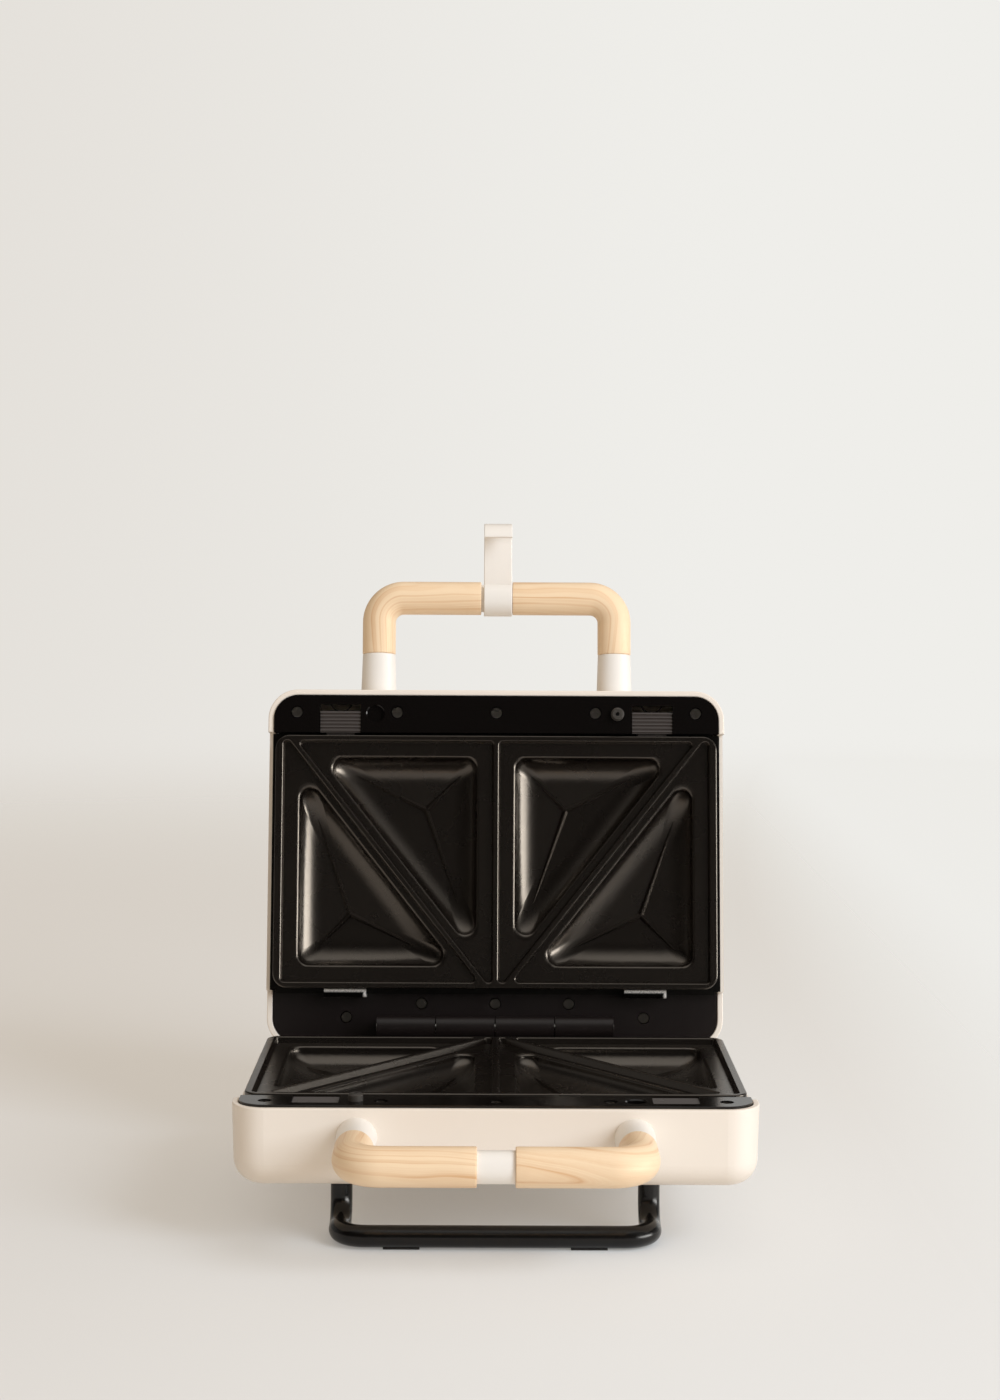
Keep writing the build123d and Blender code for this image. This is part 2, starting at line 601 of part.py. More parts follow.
def pocket_ribs(corners):
    """Three tapering ribs from the pocket's middle towards its corners."""
    (cx, cy), reach = in_circle(corners)
    steep = 1 - reach * (1 - RIB_REACH) / POCKET_WALL
    rise = (POCKET_DEPTH - POCKET_LIP) * (1 - sqrt(1 - max(steep, 0.0) ** 2))
    ribs = []
    for x, y in corners:
        run = Vector((x - cx) * RIB_REACH, (y - cy) * RIB_REACH, POCKET_Z + rise - HIP_Z)
        level = Vector(run.X, run.Y, 0).normalized()
        across = Vector(-level.Y, level.X, 0)
        upright = level.cross(across)
        ends = []
        stations = ((0.0, RIB_WIDTH, RIB_HEIGHT), (1.0, RIB_END_WIDTH, RIB_END_HEIGHT))
        for along, width, height in stations:
            frame = Plane(origin=Vector(cx, cy, HIP_Z) + run * along, x_dir=across, z_dir=level)
            lift = 1 if frame.y_dir.dot(upright) > 0 else -1
            sunk, crest = -lift * RIB_ROOT, lift * height
            outline = [(-width / 2, sunk), (width / 2, sunk), (width / 16, crest), (-width / 16, crest)]
            ends.append(frame * make_face(Polyline(*outline, close=True)))
        ribs.append(loft(ends, ruled=True))
    return ribs


def half_of_plate(make):
    """A list of solids for the right half and their mirror images for the left."""
    right = make()
    return right + [mirror(solid, about=Plane.YZ) for solid in right]


def plate():
    """Cast baking plate: rim, four cells parted by ridges, and a ribbed pocket in each cell."""
    outline = Pos(0, PLATE_MID_Y, RIM_Z) * RectangleRounded(PLATE_WIDTH, PLATE_DEPTH, PLATE_CORNER)
    body = extrude(outline, amount=PLATE_SKIRT, dir=(0, 0, -1))
    hollow = Pos(0, PLATE_MID_Y, SKIRT_Z) * RectangleRounded(
        PLATE_WIDTH - 2 * SKIRT_WALL, PLATE_DEPTH - 2 * SKIRT_WALL, PLATE_CORNER - SKIRT_WALL
    )
    body -= extrude(hollow, amount=CELL_Z - PLATE_SHEET - SKIRT_Z)
    cells = half_of_plate(
        lambda: [
            extrude(rounded(c, CELL_CORNER, RIM_Z), amount=CELL_DEPTH, dir=(0, 0, -1), taper=CELL_TAPER)
            for c in cell_corners()
        ]
    )
    for cell in cells:
        body -= cell
    body = fillet(body.edges().group_by(Axis.Z)[-1], PLATE_EDGE_RADIUS)
    for bowl in half_of_plate(lambda: [pocket_bowl(c) for c in pocket_corners()]):
        body += bowl
    for hollow in half_of_plate(lambda: [pocket_hollow(c) for c in pocket_corners()]):
        body -= hollow
    for rib in half_of_plate(lambda: [r for c in pocket_corners() for r in pocket_ribs(c)]):
        body += rib
    lug_z = (SKIRT_Z, SKIRT_Z + LUG_HEIGHT)
    for side in SIDES:
        front_lug = (PLATE_FRONT_Y - LUG_REACH, PLATE_FRONT_Y + SKIRT_WALL / 2)
        body += block(about(side * BUTTON_X, LUG_WIDTH / 2), front_lug, lug_z)
        rear_lug = (PLATE_REAR_Y - SKIRT_WALL / 2, PLATE_REAR_Y + LUG_REACH)
        body += block(about(side * HOOK_X, REAR_LUG_WIDTH / 2), rear_lug, lug_z)
    return body


# Plate hooks and release buttons


def plate_hooks():
    """Two bent hooks on the rear trim that hold the plate's rear lugs down."""
    leg = (HOOK_LEG_Y, HOOK_LEG_Y + HOOK_LEG)
    under = SKIRT_Z + LUG_HEIGHT + CLEAR
    hooks = []
    for side in SIDES:
        span = about(side * HOOK_X, HOOK_WIDTH / 2)
        hook = block(span, leg, (REAR_Z - HOOK_ROOT, under + HOOK_LIP))
        hook += block(span, (PLATE_REAR_Y + CLEAR, leg[1]), (under, under + HOOK_LIP))
        lip = hook.edges().filter_by(Axis.X).group_by(Axis.Z)[-1]
        hooks.append(fillet(lip, HOOK_EDGE))
    return group(hooks)


def release_button(side):
    """Ribbed slide whose tongue holds one of the plate's front lugs down."""
    x = side * BUTTON_X
    pad_x = about(x, BUTTON_WIDTH / 2)
    face = TRIM_Z - BUTTON_SINK
    pad_top = face - BUTTON_RIB_HEIGHT
    wing_under = WING_Z - BUTTON_WING_THICK
    button = block(pad_x, (BUTTON_FRONT_Y, TRIM_REAR_Y), (WING_Z - FIT, pad_top))
    pitch = BUTTON_LENGTH / BUTTON_RIBS
    for i in range(BUTTON_RIBS):
        near = BUTTON_FRONT_Y + i * pitch
        crest = [(near, pad_top), (near + pitch / 2, face), (near + pitch * 0.75, pad_top)]
        section = Plane.YZ * make_face(Polyline(*crest, close=True))
        button += Pos(x, 0, 0) * extrude(section, amount=BUTTON_WIDTH / 2, both=True)
    wing_x = about(x, BUTTON_WIDTH / 2 + BUTTON_WING)
    button += block(wing_x, (STEM_FRONT_Y, APRON_FRONT_Y - CLEAR), (wing_under, WING_Z))
    tongue_y = (APRON_FRONT_Y - 2 * CLEAR, PLATE_FRONT_Y - CLEAR)
    tongue_z = (SKIRT_Z + LUG_HEIGHT + CLEAR, SKIRT_Z + LUG_HEIGHT + CLEAR + TONGUE_THICK)
    button += block(about(x, TONGUE_WIDTH / 2), tongue_y, tongue_z)
    stem_y = (STEM_FRONT_Y, STEM_FRONT_Y + STEM_LENGTH)
    return button + block(about(x, STEM_WIDTH / 2), stem_y, (STEM_Z, wing_under))


def release_springs():
    """Bowed leaf springs that push the two buttons of one half back towards the plate."""
    springs = []
    for side in SIDES:
        bows = []
        for inset in (0.0, SPRING_STRIP):
            left, right = about(side * BUTTON_X, SPRING_SPAN / 2 - inset)
            crown = (side * BUTTON_X, STEM_FRONT_Y - CLEAR - inset)
            bows.append(ThreePointArc((left, SPRING_SEAT_Y), crown, (right, SPRING_SEAT_Y)))
        outer, inner = bows
        ends = [Line(outer @ 0, inner @ 0), Line(outer @ 1, inner @ 1)]
        strip = Pos(0, 0, STEM_Z) * make_face(bows + ends)
        springs.append(extrude(strip, amount=STEM_HEIGHT))
    return group(springs)


# Handles and latch


def handle_rod():
    """Steel rod bent to a U that runs through the whole handle."""
    tail = -BODY_FRONT + ROD_TAIL
    points = [(-LEG_X, tail), (-LEG_X, BAR_Y), (LEG_X, BAR_Y), (LEG_X, tail)]
    return tube([(x, y, -HANDLE_OFFSET) for x, y in points], ROD_DIAMETER / 2, HANDLE_BEND)


def handle_grip(side):
    """Bored wooden grip from the ferrule round the bend to the middle of the bar."""
    middle = side * (SLEEVE_LENGTH / 2 + TOUCH)
    points = [(side * LEG_X, GRIP_END_Y - TOUCH), (side * LEG_X, BAR_Y), (middle, BAR_Y)]
    path = [(x, y, -HANDLE_OFFSET) for x, y in points]
    wood = tube(path, GRIP_DIAMETER / 2, HANDLE_BEND)
    ends = wood.faces().filter_by(GeomType.PLANE)
    wood = chamfer(ends.edges(), GRIP_EDGE)
    return wood - tube(path, ROD_DIAMETER / 2 + TOUCH, HANDLE_BEND)


def handle_ferrules():
    """White sockets between the casing and the grips."""
    ferrules = []
    for side in SIDES:
        x = side * LEG_X
        length = FERRULE_LENGTH + SHELL_WALL
        cone = Cone(FERRULE_FLARE / 2, FERRULE_DIAMETER / 2, length)
        ferrule = Pos(x, GRIP_END_Y + length / 2, -HANDLE_OFFSET) * Rot(X=90) * cone
        ferrule = fillet(ferrule.edges().sort_by(Axis.Y)[0], FERRULE_EDGE)
        ferrule -= bar_y(x, (BAR_Y, 0.0), -HANDLE_OFFSET, ROD_DIAMETER / 2 + TOUCH)
        ferrules.append(ferrule - OUTER_FORM)
    return group(ferrules)


def handle_sleeve(diameter):
    """White sleeve on the middle of the rod."""
    half = SLEEVE_LENGTH / 2
    sleeve = bar_x(about(0.0, half), BAR_Y, -HANDLE_OFFSET, diameter / 2)
    return sleeve - bar_x(about(0.0, half), BAR_Y, -HANDLE_OFFSET, ROD_DIAMETER / 2 + TOUCH)


def handle_nuts():
    """Washer and nut on each end of the rod, inside the casing's front wall."""
    pieces = []
    bore = ROD_DIAMETER / 2 + TOUCH
    wall = -BODY_FRONT + SHELL_WALL + HANDLE_OFFSET * tan(radians(2 * SHELL_DRAFT))
    for side in SIDES:
        x = side * LEG_X
        washer = bar_y(x, (wall, wall + WASHER_THICK), -HANDLE_OFFSET, WASHER_RADIUS)
        flats = RegularPolygon(NUT_ACROSS / 2, 6, major_radius=False, rotation=30)
        hexagon = Plane.XZ * Pos(x, -HANDLE_OFFSET) * flats
        nut = Pos(0, wall + WASHER_THICK + NUT_THICK, 0) * extrude(hexagon, amount=NUT_THICK)
        hole = bar_y(x, (BAR_Y, 0.0), -HANDLE_OFFSET, bore)
        pieces += [washer - hole, nut - hole]
    return group(pieces)


def latch_clip():
    """Bent clip that wraps the lid's sleeve and hooks over the base's sleeve, swung out level."""
    bore = LID_SLEEVE_DIAMETER / 2 + TOUCH
    hook = BASE_SLEEVE_DIAMETER / 2 + CLEAR
    far = 2 * HANDLE_OFFSET
    edges = []
    for radius, tip in ((bore, hook), (bore + LATCH_STRIP, hook + LATCH_STRIP)):
        wrap = CenterArc((0, 0), radius, 90.0, 180.0 + LATCH_WRAP)
        arm = Line((0, radius), (far, tip))
        curl = CenterArc((far, 0), tip, 90.0, -(180.0 - LATCH_TIP))
        edges.append((wrap, arm, curl))
    inner, outer = edges
    caps = [Line(inner[0] @ 1, outer[0] @ 1), Line(inner[2] @ 1, outer[2] @ 1)]
    outline = make_face(list(inner) + list(outer) + caps)
    side_view = Plane(origin=(0, BAR_Y, HANDLE_OFFSET), x_dir=(0, -1, 0), z_dir=(-1, 0, 0))
    clip = extrude(side_view * outline, amount=LATCH_WIDTH / 2, both=True)
    clip = fillet(clip.edges().filter_by(GeomType.CIRCLE), LATCH_EDGE)
    return Pos((SLEEVE_LENGTH - LATCH_WIDTH) / 2 - LATCH_PLAY, 0, 0) * clip


# Stand


def stand(front):
    """Black wire stand: two legs, two level runs and a cross bar, bent from one rod."""
    leg_y = STAND_BAR_Y + STAND_RUN
    ends = [(leg_y, SHELL_Z), (leg_y, STAND_Z), (STAND_BAR_Y, STAND_Z)]
    path = [(STAND_LEG_X, y, z) for y, z in ends] + [(-STAND_LEG_X, y, z) for y, z in reversed(ends)]
    rod = tube(path, STAND_ROD / 2, STAND_BEND)
    for side in SIDES:
        bore = (SHELL_Z - STAND_SCREW_LENGTH, SHELL_Z)
        rod -= post(side * STAND_LEG_X, leg_y, bore, STAND_SCREW_RADIUS + TOUCH)
    return rod if front else turned_about_middle(rod)


def turned_about_middle(shape):
    """The same piece at the other end of the casing."""
    return mirror(shape, about=Plane(origin=(0, BODY_MID_Y, 0), z_dir=(0, 1, 0)))


def stand_screws():
    """Screws from inside the casing into the four legs."""
    screws = []
    for x, y in stand_feet():
        head = post(x, y, (FLOOR_Z, FLOOR_Z + STAND_SCREW_HEAD_HEIGHT), STAND_SCREW_HEAD)
        shank_end = SHELL_Z - STAND_SCREW_LENGTH + CLEAR
        screws.append(head + post(x, y, (shank_end, FLOOR_Z), STAND_SCREW_RADIUS))
    return group(screws)


def stand_pads():
    """Rubber pads under both cross bars, level on the table."""
    pads = []
    rod = bar_x(about(0.0, BODY_WIDTH), STAND_BAR_Y, STAND_Z, STAND_ROD / 2)
    for side in SIDES:
        span = about(side * PAD_X, PAD_LENGTH / 2)
        pad = block(span, about(STAND_BAR_Y, PAD_WIDTH / 2), (TABLE_Z, STAND_Z - STAND_ROD / 4)) - rod
        pads += [pad, turned_about_middle(pad)]
    return group(pads)


# Heating and electrical pieces


def heater_path():
    """The heating tube's centre line, from one rear end round the plate to the other."""
    front, rear = PLATE_FRONT_Y + HEATER_FRONT, PLATE_REAR_Y - HEATER_REAR
    right = [(HEATER_TAIL_X, HEATER_END_Y), (HEATER_TAIL_X, rear), (HEATER_X, rear), (HEATER_X, front)]
    return [(x, y, HEATER_Z) for x, y in right] + [(-x, y, HEATER_Z) for x, y in reversed(right)]


def heater_tube():
    """Sheathed heating tube under the plate."""
    return tube(heater_path(), HEATER_DIAMETER / 2, HEATER_BEND)


def heater_ends():
    """Ceramic insulators on the tube's two ends."""
    span = (HEATER_END_Y, HEATER_END_Y + INSULATOR_LENGTH)
    return group([bar_y(s * HEATER_TAIL_X, span, HEATER_Z, INSULATOR_DIAMETER / 2) for s in SIDES])


def heater_cradles():
    """Posts on the tray's floor that carry the heating tube."""
    tube_form = tube(heater_path(), HEATER_DIAMETER / 2 + TOUCH, HEATER_BEND)
    cradles = []
    for side in SIDES:
        for y in (PLATE_FRONT_Y + HEATER_FRONT, PLATE_REAR_Y - HEATER_REAR):
            foot = (TRAY_FLOOR_Z, HEATER_Z - HEATER_DIAMETER / 4)
            cradle = block(about(side * CRADLE_X, CRADLE_LENGTH / 2), about(y, CRADLE_WIDTH / 2), foot)
            cradles.append(cradle - tube_form)
    return group(cradles)


def heat_tray():
    """Sheet-metal reflector tray: its flange rests on the casing and carries the plate."""
    flange_x = BODY_WIDTH / 2 - SHELL_WALL - SIDE_DROP * tan(radians(SHELL_DRAFT)) + TRAY_SIDE_LAP
    tray = block(about(0.0, flange_x), (TRIM_REAR_Y + CLEAR, STEP_Y - CLEAR), (FLANGE_Z, SKIRT_Z))
    lip_x = about(0.0, PLATE_WIDTH / 2 - TRAY_SIDE_LAP)
    tray += block(lip_x, (FLANGE_FRONT_Y, FLANGE_REAR_Y), (FLANGE_Z, SKIRT_Z))
    pan_x = PLATE_WIDTH / 2 - TRAY_SIDE_INSET
    pan_y = PLATE_DEPTH / 2 - TRAY_SIDE_INSET
    tray += block(about(0.0, pan_x), about(PLATE_MID_Y, pan_y), (TRAY_UNDER_Z, FLANGE_Z))
    inner_x, inner_y = pan_x - TRAY_SHEET, pan_y - TRAY_SHEET
    tray -= block(about(0.0, inner_x), about(PLATE_MID_Y, inner_y), (TRAY_FLOOR_Z, SKIRT_Z))
    for side in SIDES:
        hole = (PLATE_MID_Y, 0.0)
        tray -= bar_y(side * HEATER_TAIL_X, hole, HEATER_Z, HEATER_DIAMETER / 2 + FIT)
    return tray


def thermostat():
    """Bimetal thermostat under the tray's floor, with a tab for each lead."""
    body = post(0.0, PLATE_MID_Y, (TRAY_UNDER_Z - THERMOSTAT_HEIGHT, TRAY_UNDER_Z), THERMOSTAT_RADIUS)
    tabs = about(PLATE_MID_Y, THERMOSTAT_TABS)
    return body + block(about(0.0, THERMOSTAT_RADIUS / 3), tabs, about(LEAD_Z, TRAY_SHEET / 2))


def thermal_fuse():
    """Cartridge fuse under the tray's floor."""
    return bar_x(about(0.0, FUSE_LENGTH / 2), FUSE_Y, LEAD_Z, FUSE_RADIUS)


def terminal_block():
    """Terminal block on the base's floor beside the hinge."""
    box_y, box_z = about(BLOCK_Y, BLOCK_WIDTH / 2), (FLOOR_Z, FLOOR_Z + BLOCK_HEIGHT)
    box = block(about(BLOCK_X, BLOCK_LENGTH / 2), box_y, box_z)
    pitch = BLOCK_LENGTH / BLOCK_POLES
    for i in range(BLOCK_POLES):
        x = BLOCK_X - BLOCK_LENGTH / 2 + (i + 0.5) * pitch
        box -= post(x, BLOCK_Y, (FLOOR_Z + BLOCK_HEIGHT / 2, box_z[1]), pitch / 4)
    return box


def cord_gland():
    """Bushing in the base's rear wall for the mains cord."""
    neck = bar_y(GLAND_X, (GLAND_INNER_Y, BODY_REAR), GLAND_Z, GLAND_NECK)
    flange = bar_y(GLAND_X, (0.0, BODY_REAR + GLAND_FLANGE_THICK), GLAND_Z, GLAND_FLANGE) - OUTER_FORM
    bore = bar_y(GLAND_X, (GLAND_INNER_Y, BODY_REAR + GLAND_FLANGE_THICK), GLAND_Z, GLAND_BORE)
    return neck + flange - bore


def lead(points):
    """One insulated lead."""
    return tube(points, LEAD_DIAMETER / 2, LEAD_BEND)


def heater_lead(side):
    """Start of a lead: from an insulator down beside the tray to its underside."""
    x, back = side * HEATER_TAIL_X, HEATER_END_Y + INSULATOR_LENGTH
    turn = back + LEAD_BEND + TOUCH
    return [(x, back, HEATER_Z), (x, turn, HEATER_Z), (x, turn, LEAD_Z)]


def fuse_lead(side):
    """Lead from one end of the heating tube to the thermal fuse."""
    run = [(side * HEATER_TAIL_X, FUSE_Y, LEAD_Z), (side * FUSE_LENGTH / 2, FUSE_Y, LEAD_Z)]
    return lead(heater_lead(side) + run)


def base_wiring():
    """Leads in the base: cord to block, heater to thermostat, thermostat to fuse, fuse to heater."""
    near, far = PLATE_MID_Y + THERMOSTAT_TABS, PLATE_MID_Y - THERMOSTAT_TABS
    step = 2 * LEAD_BEND
    jog = [(HEATER_TAIL_X, near + step), (0.0, near + step), (0.0, near)]
    hot = lead(heater_lead(1) + [(x, y, LEAD_Z) for x, y in jog])
    middle = (far + FUSE_Y) / 2
    bridge = [(0.0, far), (0.0, middle), (2 * step, middle), (2 * step, FUSE_Y), (FUSE_LENGTH / 2, FUSE_Y)]
    link = lead([(x, y, LEAD_Z) for x, y in bridge])
    turn = GLAND_INNER_Y - LEAD_BEND - TOUCH
    supply = [(GLAND_X, GLAND_INNER_Y, GLAND_Z), (GLAND_X, turn, GLAND_Z), (GLAND_X, turn, LEAD_Z)]
    supply += [(BLOCK_X, turn, LEAD_Z), (BLOCK_X, BLOCK_Y + BLOCK_WIDTH / 2, LEAD_Z)]
    return group([hot, link, fuse_lead(-1), lead(supply)])


def lid_wiring():
    """Leads in the lid, from both ends of its heating tube to its thermal fuse."""
    return group([fuse_lead(side) for side in SIDES])


def pilot_lamp(x, y):
    """Pilot lamp with a domed lens on the casing and its stem inside."""
    lens = post(x, y, (SHELL_Z - LAMP_FLANGE_THICK, SHELL_Z), LAMP_FLANGE)
    lens = fillet(lens.edges().group_by(Axis.Z)[0], LAMP_FLANGE_THICK * 0.8)
    return lens + post(x, y, (SHELL_Z, FLOOR_Z + LAMP_STEM - SHELL_WALL), LAMP_RADIUS)


# Assembly


def in_base(shape):
    """A piece of the lower half stays where it is modelled."""
    return shape


def in_lid(shape):
    """A piece of the upper half: mirrored, then swung open about the hinge."""
    return Rot(X=-OPEN_ANGLE) * mirror(shape, about=Plane.XY)


def half_nodes(half, name, peg_side, first_knuckle, bore, sleeve):
    """The pieces that both halves have, under the half's own names."""
    level = "lower" if name == "base" else "upper"
    pieces = {
        f"{name}_front_trim": front_trim(peg_side),
        f"{name}_rear_trim": rear_trim(first_knuckle, bore),
        f"{name}_trim_screws": trim_screws(),
        f"{name}_locating_peg": locating_peg(peg_side),
        f"{name}_handle_rod": handle_rod(),
        f"{name}_handle_ferrules": handle_ferrules(),
        f"{name}_handle_grip_left": handle_grip(-1),
        f"{name}_handle_grip_right": handle_grip(1),
        f"{name}_handle_sleeve": handle_sleeve(sleeve),
        f"{name}_handle_nuts": handle_nuts(),
        f"{level}_plate": plate(),
        f"{level}_plate_hooks": plate_hooks(),
        f"{level}_release_left": release_button(-1),
        f"{level}_release_right": release_button(1),
        f"{level}_release_springs": release_springs(),
        f"{level}_heat_tray": heat_tray(),
        f"{level}_heater_tube": heater_tube(),
        f"{level}_heater_ends": heater_ends(),
        f"{level}_heater_cradles": heater_cradles(),
        f"{level}_thermal_fuse": thermal_fuse(),
    }
    return {node: half(shape) for node, shape in pieces.items()}


def all_nodes():
    """Every node about the hinge, with the lid open."""
    running = PIN_RADIUS + TOUCH
    nodes = {
        "base_shell": base_shell(),
        "hinge_pin": hinge_pin(),
        "front_stand": stand(True),
        "rear_stand": stand(False),
        "stand_screws": stand_screws(),
        "stand_pads": stand_pads(),
        "thermostat": thermostat(),
        "terminal_block": terminal_block(),
        "cord_gland": cord_gland(),
        "base_wiring": base_wiring(),
        "lid_shell": in_lid(lid_shell()),
        "lid_wiring": in_lid(lid_wiring()),
        "latch_clip": Rot(X=-OPEN_ANGLE) * latch_clip(),
    }
    for name, (x, y) in zip(("power_lamp", "ready_lamp"), lamp_places()):
        nodes[name] = in_lid(pilot_lamp(x, y))
    nodes.update(half_nodes(in_base, "base", -1, 1, running, BASE_SLEEVE_DIAMETER))
    nodes.update(half_nodes(in_lid, "lid", 1, 0, running, LID_SLEEVE_DIAMETER))
    return nodes


def row_offset(nodes):
    """The move that puts the bottom centre of the whole object at the origin."""
    box = Compound(children=[s for shape in nodes.values() for s in shape.solids()]).bounding_box()
    return Pos(0, -(box.min.Y + box.max.Y) / 2, -TABLE_Z)


def main():
    os.makedirs("parts", exist_ok=True)
    nodes = all_nodes()
    offset = row_offset(nodes)
    for name, shape in nodes.items():
        export_step(offset * shape, f"parts/{name}.step")
    place = offset.position
    print(f"{len(nodes)} nodes, hinge axis at y {place.Y:.4f}, z {place.Z:.4f}")


if __name__ == "__main__":
    main()
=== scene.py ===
"""Sandwich toaster with its lid open: finishes, wooden grips, return springs and a studio."""

import json
from math import atan2, pi, radians

import bmesh
import bpy
from bpy.props import FloatProperty, FloatVectorProperty, IntProperty, PointerProperty
from mathutils import Matrix, Vector


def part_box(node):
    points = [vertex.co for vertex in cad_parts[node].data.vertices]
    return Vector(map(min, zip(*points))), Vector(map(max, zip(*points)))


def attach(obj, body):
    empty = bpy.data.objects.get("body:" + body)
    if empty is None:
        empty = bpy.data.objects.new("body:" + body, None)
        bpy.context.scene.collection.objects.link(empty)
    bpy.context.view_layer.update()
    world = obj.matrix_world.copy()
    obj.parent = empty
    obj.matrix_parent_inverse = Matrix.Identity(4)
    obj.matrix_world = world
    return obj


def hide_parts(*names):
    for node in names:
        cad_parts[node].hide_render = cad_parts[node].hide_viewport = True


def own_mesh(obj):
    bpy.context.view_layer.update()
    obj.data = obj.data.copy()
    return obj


bl_info = {
    "name": "Sandwich toaster",
    "version": (1, 0, 0),
    "blender": (4, 5, 0),
    "location": "View3D > Sidebar > Toaster",
    "description": "Finishes for a sandwich toaster, its wooden grips and a plain studio",
    "category": "Object",
}

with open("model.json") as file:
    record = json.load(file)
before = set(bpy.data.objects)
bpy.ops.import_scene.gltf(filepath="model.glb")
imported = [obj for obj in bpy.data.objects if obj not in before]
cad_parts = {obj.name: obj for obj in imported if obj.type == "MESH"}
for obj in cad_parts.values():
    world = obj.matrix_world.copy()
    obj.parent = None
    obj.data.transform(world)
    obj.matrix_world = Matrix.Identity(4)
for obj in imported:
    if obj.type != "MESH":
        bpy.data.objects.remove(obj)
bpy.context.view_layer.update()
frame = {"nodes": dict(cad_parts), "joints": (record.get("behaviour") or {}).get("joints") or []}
JOINTS = {joint["name"]: joint for joint in frame["joints"]}
HINGE = Vector(JOINTS["lid_hinge"]["pos_m"])
# At rest the lid stands open by this turn round the hinge.
OPEN_TURN = Matrix.Rotation(radians(-100), 4, "X")
MM = 0.001

# Points nearer than the weld become one, and faces that meet at less than the angle shade as one.
WELD = 1e-6
SMOOTH_ANGLE = radians(40)

# Plate hooks: the strip's width, and how far in from an edge the painted highlight reaches.
HOOK_WIDTH = 21.0 * MM
HOOK_HIGHLIGHT_REACH = 1.9 * MM

# Wooden grips: radius of the bend's middle line, and steps in a straight run, a bend and an end.
GRIP_BEND = 12.5 * MM
RUN_STEPS = 6
BEND_STEPS = 20
END_STEPS = 4

# Sockets of a Mix node by their place, because its kinds share their names.
COLOUR_A, COLOUR_B, COLOUR_OUT = 6, 7, 2
FLOAT_A, FLOAT_B, FLOAT_OUT = 2, 3, 0


def hex_colour(code):
    """An sRGB hex value as a linear colour with alpha."""
    parts = [int(code[i : i + 2], 16) / 255 for i in (0, 2, 4)]
    return [p / 12.92 if p <= 0.04045 else ((p + 0.055) / 1.055) ** 2.4 for p in parts] + [1.0]


def colour_property(name, description, code):
    """A colour that a user would change."""
    return FloatVectorProperty(
        name=name,
        description=description,
        subtype="COLOR",
        size=4,
        min=0,
        max=1,
        default=hex_colour(code),
    )


def length_property(name, description, millimetres):
    """A length that a user would change."""
    return FloatProperty(
        name=name,
        description=description,
        subtype="DISTANCE",
        unit="LENGTH",
        min=0,
        default=millimetres * MM,
    )


class CasingSettings(bpy.types.PropertyGroup):
    """Moulded plastics of the two halves."""

    cream: colour_property("Cream", "Colour of the two casing halves", "f3e9dc")
    white: colour_property("White", "Colour of the ferrules, sleeves and latch", "f4efe7")
    black: colour_property("Black", "Colour of the front trims", "0b0807")
    pebble: length_property("Pebble", "Size of the moulded grain", 1.1)


class PlateSettings(bpy.types.PropertyGroup):
    """Non-stick coat of the baking plates."""

    coat: colour_property("Coat", "Colour of the non-stick coat", "0a0706")
    fleck: colour_property("Fleck", "Colour of the flecks in the coat", "463c35")
    fleck_size: length_property("Fleck size", "Spacing of the flecks", 0.9)
    peel: length_property("Orange peel", "Size of the sprayed coat's ripple", 1.3)


class WoodSettings(bpy.types.PropertyGroup):
    """Turned and bent wooden grips."""

    pale: colour_property("Pale wood", "Colour of the early wood", "f9deba")
    late: colour_property("Late wood", "Colour of the growth lines", "d9a36c")
    ring: length_property("Ring spacing", "Distance between growth lines", 2.4)
    edge: length_property("End rounding", "Radius at the grip's ends", 0.6)
    sides: IntProperty(
        name="Sides", description="Points round the grip", default=64, min=16, max=256
    )


class StudioSettings(bpy.types.PropertyGroup):
    """Floor, background, lamp and lens."""

    paper: colour_property("Paper", "Colour of the floor", "eff0f0")
    left: colour_property("Left", "Background colour on the shaded side", "e4e0da")
    right: colour_property("Right", "Background colour on the lit side", "efeeea")
    fill: FloatProperty(
        name="Fill", description="Strength of the even light", default=0.62, min=0
    )
    key: FloatProperty(
        name="Key", description="Power of the side lamp", subtype="POWER", default=36.5, min=0
    )
    window: FloatProperty(
        name="Window", description="Brightness of the mirrored window", default=11.0, min=0
    )
    lens: FloatProperty(
        name="Lens", description="Focal length", unit="CAMERA", default=64.59, min=1
    )


# Materials

# Real moulded, plated and sprayed grains and single fibres are 0.05 to 0.3 mm, too fine to show
# in the render, so each grain, ripple, fleck and fibre is drawn coarser, at 0.5 to 3 mm.

# Plain finishes: size of the slow drift in colour and gloss, and how far the roughness varies.
DRIFT_SIZE = 40 * MM
GLOSS_SPREAD = 0.06


def add(tree, kind, inputs=None, stops=None, **settings):
    """Adds one node: its settings, the stops of a ramp, and its inputs as values or links."""
    node = tree.nodes.new(kind)
    for name, value in settings.items():
        setattr(node, name, value)
    if stops:
        elements = node.color_ramp.elements
        while len(elements) < len(stops):
            elements.new(0.5)
        for element, (position, colour) in zip(elements, stops):
            element.position = position
            element.color = colour
    for key, value in (inputs or {}).items():
        if isinstance(value, bpy.types.NodeSocket):
            tree.links.new(value, node.inputs[key])
        else:
            node.inputs[key].default_value = value
    return node


def new_material(name):
    """An empty node material and its tree."""
    material = bpy.data.materials.new(name)
    material.use_nodes = True
    material.node_tree.nodes.clear()
    return material, material.node_tree


def surface(tree, inputs):
    """The shader and the output."""
    shader = add(tree, "ShaderNodeBsdfPrincipled", inputs)
    add(tree, "ShaderNodeOutputMaterial", {"Surface": shader.outputs["BSDF"]})


def tint(colour, share):
    """A colour made lighter or darker by a share."""
    return [min(1.0, c * share) for c in colour[:3]] + [1.0]


def grey(value):
    """A grey for a stop of a ramp."""
    return (value, value, value, 1)


